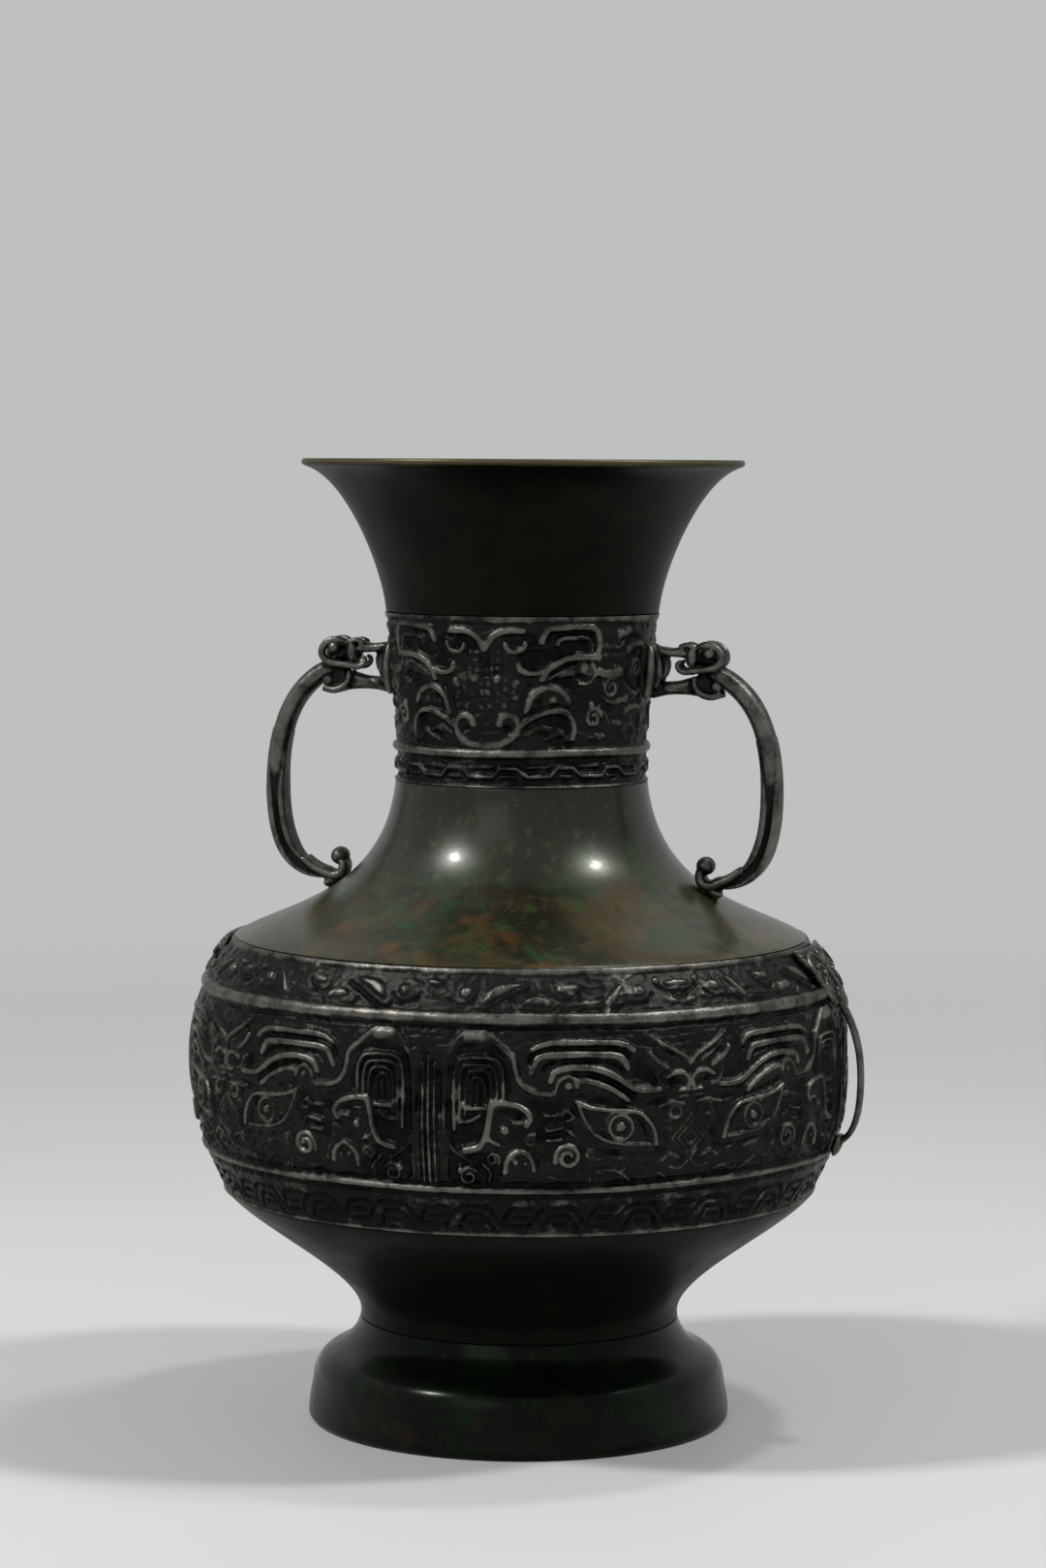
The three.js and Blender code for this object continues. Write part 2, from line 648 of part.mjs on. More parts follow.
const vase = new THREE.Group();
vase.add(
  piece('foot_ring', footRing, footBronze),
  piece('base_plate', basePlate, plainBronze),
  piece('lower_bowl', lowerBowl, plainBronze),
  piece('belly_band', drilled(bellyWall, [loopTopSpot, loopBottomSpot]), reliefBronze),
  piece('shoulder', drilled(shoulderWall, [curlSpot]), mottledBronze),
  piece('neck_band', drilled(neckWall, [headSpot]), reliefBronze),
  piece('mouth_flare', mouthFlare, plainBronze),
);
for (const { side, turn } of sides) {
  const turnedPiece = (name, shape, look) => {
    vase.add(piece(`${side}_${name}`, shape.rotate([0, 0, turn]), look));
  };
  turnedPiece('neck_handle', neckHandle, reliefBronze);
  turnedPiece('belly_handle', bellyHandle, reliefBronze);
  turnedPiece('neck_handle_head_rivet', rivet(headSpot), rivetBronze);
  turnedPiece('neck_handle_curl_rivet', rivet(curlSpot), rivetBronze);
  turnedPiece('belly_handle_upper_rivet', rivet(loopTopSpot), rivetBronze);
  turnedPiece('belly_handle_lower_rivet', rivet(loopBottomSpot), rivetBronze);
}

export default vase;
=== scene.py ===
"""The looks of an archaic-style cast bronze vase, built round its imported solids.

Sizes are in millimetres, as on a founder's drawing, and MM turns them into metres. The vase stands
on Z = 0, its handles lie along X and its front faces -Y. Angles round the vase are measured from
the front, towards +X.
"""
import logging
import math
from dataclasses import dataclass, replace
from enum import Enum
from typing import Iterable, Sequence

import bmesh
import bpy
import numpy as np
from mathutils import Matrix, Vector, noise


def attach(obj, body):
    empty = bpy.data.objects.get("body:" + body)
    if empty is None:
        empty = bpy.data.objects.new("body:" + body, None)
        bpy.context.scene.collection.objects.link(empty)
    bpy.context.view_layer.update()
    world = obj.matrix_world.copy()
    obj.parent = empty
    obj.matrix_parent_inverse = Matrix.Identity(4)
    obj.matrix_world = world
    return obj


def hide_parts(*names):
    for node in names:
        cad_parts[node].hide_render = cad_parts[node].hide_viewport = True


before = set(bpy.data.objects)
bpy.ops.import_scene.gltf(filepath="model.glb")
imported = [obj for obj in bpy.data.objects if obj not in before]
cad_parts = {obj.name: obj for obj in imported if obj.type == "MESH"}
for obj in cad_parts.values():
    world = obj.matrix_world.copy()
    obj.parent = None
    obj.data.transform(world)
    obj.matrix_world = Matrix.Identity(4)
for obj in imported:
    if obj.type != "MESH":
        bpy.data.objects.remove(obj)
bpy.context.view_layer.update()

MM = 0.001

Point = tuple[float, ...]
Path = list[Point]
Socket = bpy.types.NodeSocket

log = logging.getLogger("bronze_vase")


class Slot(Enum):
    """The record's finishes."""

    PLAIN = "plain_bronze"
    MOTTLED = "mottled_bronze"
    RELIEF = "relief_bronze"
    FOOT = "foot_bronze"
    RIVET = "rivet_bronze"


# Outlines: points of radius and height, or of the plane of X and Z

def sweep(start: Point, start_angle: float, start_pull: float,
          end: Point, end_angle: float, end_pull: float, steps: int = 40) -> Path:
    """A smooth outline between two points. An angle of 0 heads outwards and 90 heads up.

    Args:
        start: first point.
        start_angle: heading there, in degrees.
        start_pull: length of the control arm there, as a share of the distance to the end.
        end: last point.
        end_angle: heading there, in degrees.
        end_pull: length of the control arm there, as a share of the same distance.
        steps: number of pieces.

    Returns:
        The points, the first and the last with them.
    """
    reach = math.dist(start, end)
    leave, arrive = math.radians(start_angle), math.radians(end_angle)
    corners = np.array([
        start,
        (start[0] + math.cos(leave) * start_pull * reach, start[1] + math.sin(leave) * start_pull * reach),
        (end[0] - math.cos(arrive) * end_pull * reach, end[1] - math.sin(arrive) * end_pull * reach),
        end,
    ])
    share = np.linspace(0, 1, steps + 1)[:, None]
    rest = 1 - share
    curve = (rest ** 3 * corners[0] + 3 * rest ** 2 * share * corners[1]
             + 3 * rest * share ** 2 * corners[2] + share ** 3 * corners[3])
    return [tuple(point) for point in curve]


def evenly(path: Path, spacing: float) -> Path:
    """A path resampled at even steps of about the given spacing, its ends kept."""
    points = np.array(path)
    walked = np.concatenate([[0], np.cumsum(np.linalg.norm(np.diff(points, axis=0), axis=1))])
    marks = np.linspace(0, walked[-1], max(2, round(walked[-1] / spacing) + 1))
    return [tuple(point) for point in np.stack([np.interp(marks, walked, axis) for axis in points.T], 1)]


def shifted(path: Path, distance: float, end_distance: float | None = None) -> Path:
    """A path moved to its left as it is walked, by a distance that may change evenly to its end."""
    points = np.array(path)
    along = np.gradient(points, axis=0)
    along /= np.linalg.norm(along, axis=1)[:, None]
    last = distance if end_distance is None else end_distance
    moves = np.linspace(distance, last, len(points))[:, None]
    return [tuple(point) for point in points + np.stack([-along[:, 1], along[:, 0]], 1) * moves]


def smooth_through(rows: Sequence[Point], per_span: int = 5, closed: bool = False) -> np.ndarray:
    """A smooth line through rows of any number of values.

    Args:
        rows: the values at each point.
        per_span: number of pieces between one row and the next.
        closed: whether the line joins up with its start.

    Returns:
        The rows of the line.
    """
    given = np.array(rows, float)
    if len(given) < 3:
        return given
    before = given[-1:] if closed else 2 * given[:1] - given[1:2]
    after = given[:2] if closed else 2 * given[-1:] - given[-2:-1]
    padded = np.concatenate([before, given, after])
    spans = []
    for a, b, c, d in zip(padded, padded[1:], padded[2:], padded[3:]):
        t = (np.arange(per_span) / per_span)[:, None]
        spans.append(0.5 * (2 * b + (c - a) * t + (2 * a - 5 * b + 4 * c - d) * t ** 2
                            + (3 * b - a - 3 * c + d) * t ** 3))
    spans.append(padded[-2:-1])
    return np.concatenate(spans)


@dataclass(frozen=True)
class VaseForm:
    """The outer outlines of the cast sections, from the table up."""

    foot_height: float = 35.0
    bowl_top: float = 80.5
    belly_top: float = 166.9
    shoulder_top: float = 220.5
    neck_top: float = 277.8
    rim: float = 330.0
    seam_gap: float = 0.3
    tongue: float = 5.0
    tongue_root: float = 4.0
    foot_radius: float = 72.6
    waist_radius: float = 54.8
    bowl_radius: float = 102.0
    belly_radius: float = 112.7
    belly_widest: float = 121.0
    shoulder_radius: float = 98.6
    throat_radius: float = 43.7
    neck_radius: float = 47.2
    mouth_radius: float = 75.6
    proud: float = 0.5
    plain_wall: float = 2.8
    relief_wall: float = 3.4
    foot_wall: float = 3.2
    lip: float = 2.6

    def foot(self) -> Path:
        """The foot: a nearly upright wall, then a dome up to the waist."""
        rounding = ((1.6, 0.0), (0.9, 0.25), (0.25, 0.8))
        edge = [(self.foot_radius - inset, height) for inset, height in rounding]
        wall = sweep((self.foot_radius, 1.8), 90, 0.3, (70.9, 14.5), 97, 0.3, 8)
        dome = sweep((70.9, 14.5), 97, 0.49, (self.waist_radius, self.foot_height), 105, 0.54, 40)
        return edge + wall + dome[1:]

    def bowl(self) -> Path:
        """The plain bowl above the waist."""
        return sweep((self.waist_radius, self.foot_height + self.seam_gap), 101, 0.23,
                     (self.bowl_radius - self.proud, self.bowl_top), 52, 0.24)

    def belly(self) -> Path:
        """The belly band at the level of the relief's high lines."""
        widest = (self.belly_radius, self.belly_widest)
        lower = sweep((self.bowl_radius, self.bowl_top + self.seam_gap), 64, 0.43, widest, 90, 0.42)
        upper = sweep(widest, 93, 0.42, (self.shoulder_radius, self.belly_top), 131, 0.55)
        return lower + upper[1:]

    def shoulder(self) -> Path:
        """The concave shoulder."""
        return sweep((self.shoulder_radius - self.proud, self.belly_top + self.seam_gap), 149.5, 0.25,
                     (self.throat_radius - self.proud, self.shoulder_top), 95.6, 0.52, 60)

    def neck(self) -> Path:
        """The neck band at the level of the relief's high lines."""
        return sweep((self.throat_radius, self.shoulder_top + self.seam_gap), 91, 0.36,
                     (self.neck_radius, self.neck_top), 84, 0.37)

    def flare(self) -> Path:
        """The trumpet mouth, up to the underside of its lip."""
        return sweep((self.neck_radius - self.proud, self.neck_top + self.seam_gap), 85, 0.25,
                     (self.mouth_radius - self.lip / 2, self.rim - self.lip), 16, 0.26, 60)


FORM = VaseForm()


def below(path: Path, height: float) -> Path:
    """The points of a path that lie under a height."""
    return [point for point in path if point[1] < height]


def above(path: Path, height: float) -> Path:
    """The points of a path that lie over a height."""
    return [point for point in path if point[1] > height]


# Meshes

def spun(profile: Path, steps: int, turn: float = math.tau, start: float = 0.0) -> bmesh.types.BMesh:
    """A closed profile turned about the vase's axis, with its ends closed if it stops short.

    Args:
        profile: corners of the closed profile, in radius and height.
        steps: pieces of the turn.
        turn: angle of the turn.
        start: angle at which it starts, from the front.

    Returns:
        A new bmesh, in metres, with its faces outwards.
    """
    bm = bmesh.new()
    heading = Vector((math.sin(start), -math.cos(start), 0))
    corners = [bm.verts.new((heading * radius + Vector((0, 0, height))) * MM) for radius, height in profile]
    edges = [bm.edges.new(pair) for pair in zip(corners, corners[1:] + corners[:1])]
    whole = turn == math.tau
    # The turn is spun in a few flats, which are then cut finer and pushed out to the round
    flats = 24 if whole else 12
    made = bmesh.ops.spin(
        bm, geom=corners + edges, cent=(0, 0, 0), axis=(0, 0, 1), dvec=(0, 0, 0), angle=turn,
        space=Matrix.Identity(4), steps=flats, use_merge=whole, use_normal_flip=False, use_duplicate=False)
    ends = [edges, [item for item in made["geom_last"] if isinstance(item, bmesh.types.BMEdge)]]
    flat_edges = [edge for edge in bm.edges
                  if abs(edge.verts[0].co.xy.normalized().cross(edge.verts[1].co.xy.normalized())) > 1e-4]
    cuts = max(1, round(steps / flats)) - 1
    bmesh.ops.subdivide_edges(bm, edges=flat_edges, cuts=cuts, use_grid_fill=True)
    half_flat = turn / flats / 2
    rounding = 1e-5
    for corner in bm.verts:
        angle = math.atan2(corner.co.x, -corner.co.y) - start
        from_middle = (angle + rounding) % (2 * half_flat) - rounding - half_flat
        corner.co.xy *= math.cos(from_middle) / math.cos(half_flat)
    if not whole:
        for end in ends:
            bmesh.ops.contextual_create(bm, geom=end)
    bmesh.ops.recalc_face_normals(bm, faces=bm.faces)
    return bm


def soften(bm: bmesh.types.BMesh, radius: float, angle: float = 38.0) -> None:
    """Rounds the sharp edges of a mesh."""
    sharp = [edge for edge in bm.edges
             if len(edge.link_faces) == 2 and edge.calc_face_angle() > math.radians(angle)]
    bmesh.ops.bevel(bm, geom=sharp, offset=radius * MM, offset_type="OFFSET", segments=2, profile=0.5,
                    affect="EDGES", material=-1, clamp_overlap=True)


def placed(name: str, data: bpy.types.ID) -> bpy.types.Object:
    """A new object in the scene, at the origin."""
    made = bpy.data.objects.new(name, data)
    bpy.context.scene.collection.objects.link(made)
    return made


def object_of(bm: bmesh.types.BMesh, name: str, sharp_angle: float = 40.0) -> bpy.types.Object:
    """A scene object made of a bmesh, shaded smooth except at its sharp edges."""
    mesh = bpy.data.meshes.new(name)
    bm.to_mesh(mesh)
    bm.free()
    mesh.shade_smooth()
    mesh.set_sharp_from_angle(angle=math.radians(sharp_angle))
    return placed(name, mesh)


def vectors(rows: bpy.types.bpy_prop_collection, key: str) -> np.ndarray:
    """The vector that each of a mesh's rows holds."""
    flat = np.empty(len(rows) * 3, np.float32)
    rows.foreach_get(key, flat)
    return flat.reshape(-1, 3)


def places(mesh: bpy.types.Mesh) -> np.ndarray:
    """The places of a mesh's vertices, in its own units."""
    return vectors(mesh.vertices, "co").astype(float)


def normals(mesh: bpy.types.Mesh) -> np.ndarray:
    """The normals of a mesh's vertices."""
    return vectors(mesh.vertex_normals, "vector")


def move_to(mesh: bpy.types.Mesh, points: np.ndarray) -> None:
    """Puts a mesh's vertices at new places."""
    mesh.vertices.foreach_set("co", points.astype(np.float32).ravel())
    mesh.update()


def keep_relief(mesh: bpy.types.Mesh, values: np.ndarray) -> None:
    """Stores how high each vertex stands in the relief, from 0 in the recesses to 1 on top, which the relief
    finish turns into painted shade and highlight.
    """
    layer = mesh.attributes.new("relief", "FLOAT", "POINT")
    layer.data.foreach_set("value", values.astype(np.float32))


def standing_out(mesh: bpy.types.Mesh, rounds: int) -> np.ndarray:
    """How far each vertex stands out from the smoothed shape round it.

    Args:
        mesh: the mesh.
        rounds: how often the shape is smoothed.

    Returns:
        The distances along the normals, in the mesh's units.
    """
    points = places(mesh)
    ends = np.empty(len(mesh.edges) * 2, np.int32)
    mesh.edges.foreach_get("vertices", ends)
    first, second = ends.reshape(-1, 2).T
    count = np.maximum(np.bincount(ends, minlength=len(points)), 1)
    smoothed = points.copy()
    for _ in range(rounds):
        smoothed = np.stack([
            (np.bincount(first, axis[second], len(points)) + np.bincount(second, axis[first], len(points)))
            / count for axis in smoothed.T], 1)
    return ((points - smoothed) * normals(mesh)).sum(1)


def put_on(piece: bpy.types.Object, material: bpy.types.Material, slot: Slot, *nodes: str) -> None:
    """Dresses a piece, hangs it from the root body and hides the solids that it stands for.

    Args:
        piece: the new piece.
        material: its material.
        slot: the record's finish; not used.
        nodes: the solids that it stands for.
    """
    piece.data.materials.append(material)
    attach(piece, "root")
    if nodes:
        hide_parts(*nodes)
    log.info("%s: %d faces", piece.name, len(piece.data.polygons))


# Relief

class Mark(Enum):
    """How a mark changes the ground of the relief."""

    RIDGE = "a rounded line that stands up"
    GROOVE = "a rounded line cut into what is there"
    FIELD = "an area raised to a level or sunk"


@dataclass(frozen=True)
class Stroke:
    """One mark of the relief, with its points along the wall and up it and its height as a share."""

    mark: Mark
    width: float
    height: float
    points: tuple[Point, ...]
    closed: bool = False


def ridge(width: float, height: float, *points: Point) -> Stroke:
    """A rounded line that stands up through the points."""
    return Stroke(Mark.RIDGE, width, height, points)


def groove(width: float, depth: float, *points: Point) -> Stroke:
    """A rounded line cut in through the points."""
    return Stroke(Mark.GROOVE, width, depth, points)


def raised(edge: float, height: float, *points: Point) -> Stroke:
    """An area inside the points, raised to a height with a soft edge."""
    return Stroke(Mark.FIELD, edge, height, points, closed=True)


def hollow(edge: float, depth: float, *points: Point) -> Stroke:
    """An area inside the points, sunk by a depth with a soft edge."""
    return Stroke(Mark.FIELD, edge, -depth, points, closed=True)


def bolder(strokes: Iterable[Stroke], share: float) -> list[Stroke]:
    """The same strokes with their ridges broader by a share."""
    return [replace(stroke, width=stroke.width * (1 + share)) if stroke.mark is Mark.RIDGE else stroke
            for stroke in strokes]


def ring(width: float, height: float, centre: Point, radius: float) -> Stroke:
    """A round line."""
    corners = tuple((centre[0] + radius * math.cos(math.tau * i / 10),
                     centre[1] + radius * math.sin(math.tau * i / 10)) for i in range(10))
    return Stroke(Mark.RIDGE, width, height, corners, closed=True)


def coil(width: float, height: float, centre: Point, radius: float, start: float = 150.0,
         turns: float = 1.3) -> Stroke:
    """A line that winds in towards its centre, from an angle in degrees."""
    count = round(9 * abs(turns)) + 1
    points = []
    for i in range(count):
        share = i / (count - 1)
        angle = math.radians(start) + math.tau * turns * share
        reach = radius * (1 - 0.72 * share)
        points.append((centre[0] + reach * math.cos(angle), centre[1] + reach * math.sin(angle)))
    return Stroke(Mark.RIDGE, width, height, tuple(points))


def bead(radius: float, height: float, centre: Point) -> Stroke:
    """A round knob."""
    return Stroke(Mark.RIDGE, 2 * radius, height, (centre, centre))


def distance_to(u: np.ndarray, z: np.ndarray, path: np.ndarray) -> np.ndarray:
    """Distance from each place of an unrolled patch to a line of points."""
    nearest = np.full(u.shape, np.inf)
    for (from_u, from_z), (to_u, to_z) in zip(path, path[1:]):
        run, rise = to_u - from_u, to_z - from_z
        square = max(run * run + rise * rise, 1e-9)
        share = np.clip(((u - from_u) * run + (z - from_z) * rise) / square, 0, 1)
        nearest = np.minimum(nearest, np.hypot(u - from_u - share * run, z - from_z - share * rise))
    return nearest


def inside(u: np.ndarray, z: np.ndarray, path: np.ndarray) -> np.ndarray:
    """Whether each place of an unrolled patch lies within a closed line of points."""
    hits = np.zeros(u.shape, bool)
    for (from_u, from_z), (to_u, to_z) in zip(path, path[1:]):
        if from_z != to_z:
            crosses = (from_z > z) != (to_z > z)
            hits ^= crosses & (u < from_u + (z - from_z) * (to_u - from_u) / (to_z - from_z))
    return hits


def between(grid: np.ndarray, up: np.ndarray, across: np.ndarray) -> np.ndarray:
    """A grid's values between its rows and columns. After its last column comes its first."""
    row, col = up.astype(int), across.astype(int)
    top, right = up - row, across - col
    col, after = col % grid.shape[1], (col + 1) % grid.shape[1]
    lower = grid[row, col] * (1 - right) + grid[row, after] * right
    upper = grid[row + 1, col] * (1 - right) + grid[row + 1, after] * right
    return lower * (1 - top) + upper * top


class ReliefField:
    """The height of the relief over one repeat of an unrolled band, as a share of its depth."""

    cell = 0.2
    margin = 6.0

    def __init__(self, length: float, low: float, high: float, ground: float = 0.0) -> None:
        """Starts with bare ground.

        Args:
            length: length of the repeat along the wall.
            low: lowest height up the wall.
            high: highest height up the wall.
            ground: how high the ground stands before anything is laid on it or cut into it.
        """
        self.u = np.arange(-self.margin, length + self.margin, self.cell)
        self.z = np.arange(low - self.cell, high + 2 * self.cell, self.cell)
        self.height = np.full((len(self.z), len(self.u)), ground)

    def lay(self, strokes: Iterable[Stroke], shift: float = 0.0) -> None:
        """Puts strokes into the relief, one on another, moved along the wall by the shift."""
        for stroke in strokes:
            given = smooth_through(stroke.points, closed=stroke.closed)
            path = given + np.array([shift, 0.0])
            reach = stroke.width if stroke.mark is Mark.FIELD else stroke.width / 2
            left, right = np.searchsorted(self.u, (path[:, 0].min() - reach, path[:, 0].max() + reach))
            bottom, top = np.searchsorted(self.z, (path[:, 1].min() - reach, path[:, 1].max() + reach))
            if right <= left or top <= bottom:
                continue
            patch = (slice(bottom, top), slice(left, right))
            z, u = np.meshgrid(self.z[bottom:top], self.u[left:right], indexing="ij")
            away = distance_to(u, z, path)
            ground = self.height[patch]
            floor = np.minimum(ground, 0)
            if stroke.mark is Mark.FIELD:
                rise = np.clip(away / stroke.width, 0, 1)
                swell = stroke.height * rise * rise * (3 - 2 * rise)
                sunk = stroke.height < 0
                changed = np.maximum(ground + swell, floor) if sunk else np.maximum(ground, swell)
                ground[:] = np.where(inside(u, z, path), changed, ground)
                continue
            crown = np.clip(1 - (away / reach) ** 2, 0, 1)
            if stroke.mark is Mark.RIDGE:
                ground[:] = np.maximum(ground, stroke.height * crown ** 0.62)
            else:
                ground[:] = np.maximum(ground - stroke.height * crown ** 1.3, floor)

    def wear(self, size: float) -> None:
        """Rounds everything off a little, as handling and a soft mould do."""
        reach = max(1, round(2.5 * size / self.cell))
        weights = np.exp(-0.5 * (np.arange(-reach, reach + 1) * self.cell / size) ** 2)
        weights /= weights.sum()
        for axis in (0, 1):
            edges = [(reach, reach) if i == axis else (0, 0) for i in (0, 1)]
            padded = np.pad(self.height, edges, mode="edge")
            count = self.height.shape[axis]
            rows = [np.take(padded, range(i, i + count), axis) for i in range(len(weights))]
            self.height = sum(weight * row for weight, row in zip(weights, rows))

    def at(self, u: np.ndarray, z: np.ndarray) -> np.ndarray:
        """The relief's height at places along the wall and up it."""
        across = np.clip((u - self.u[0]) / self.cell, 0, len(self.u) - 1.001)
        up = np.clip((z - self.z[0]) / self.cell, 0, len(self.z) - 1.001)
        return between(self.height, up, across)


class CastNoise:
    """Unevenness that runs all round a band without repeating, as a hand-worked mould leaves it."""

    cells_round = 1600
    cells_up = 240

    def __init__(self, girth: float, low: float, high: float, seed: int) -> None:
        """Sets the band that the noise covers.

        Args:
            girth: length of the band all round.
            low: lowest height.
            high: highest height.
            seed: start of the random draws.
        """
        self.girth, self.low, self.high = girth, low, high
        self.draws = np.random.default_rng(seed)

    def layer(self, along: float, up: float) -> np.ndarray:
        """One layer of smooth noise with a spread of 1.

        Args:
            along: size of its marks along the wall.
            up: size of its marks up the wall.

        Returns:
            The layer as rows from the lowest height to the highest.
        """
        white = self.draws.standard_normal((self.cells_up, self.cells_round))
        rounds = np.fft.fftfreq(self.cells_round, self.girth / self.cells_round)
        rises = np.fft.fftfreq(self.cells_up, (self.high - self.low) / self.cells_up)
        kept = np.exp(-(rounds[None, :] * along) ** 2 * 4 - (rises[:, None] * up) ** 2 * 4)
        made = np.fft.ifft2(np.fft.fft2(white) * kept).real
        return made / made.std()

    def at(self, layer: np.ndarray, angle: np.ndarray, z: np.ndarray) -> np.ndarray:
        """A layer's value at places given by angle and height."""
        across = (angle / math.tau % 1.0) * self.cells_round
        up = np.clip((z - self.low) / (self.high - self.low), 0, 1) * (self.cells_up - 1.001)
        return between(layer, up, across)


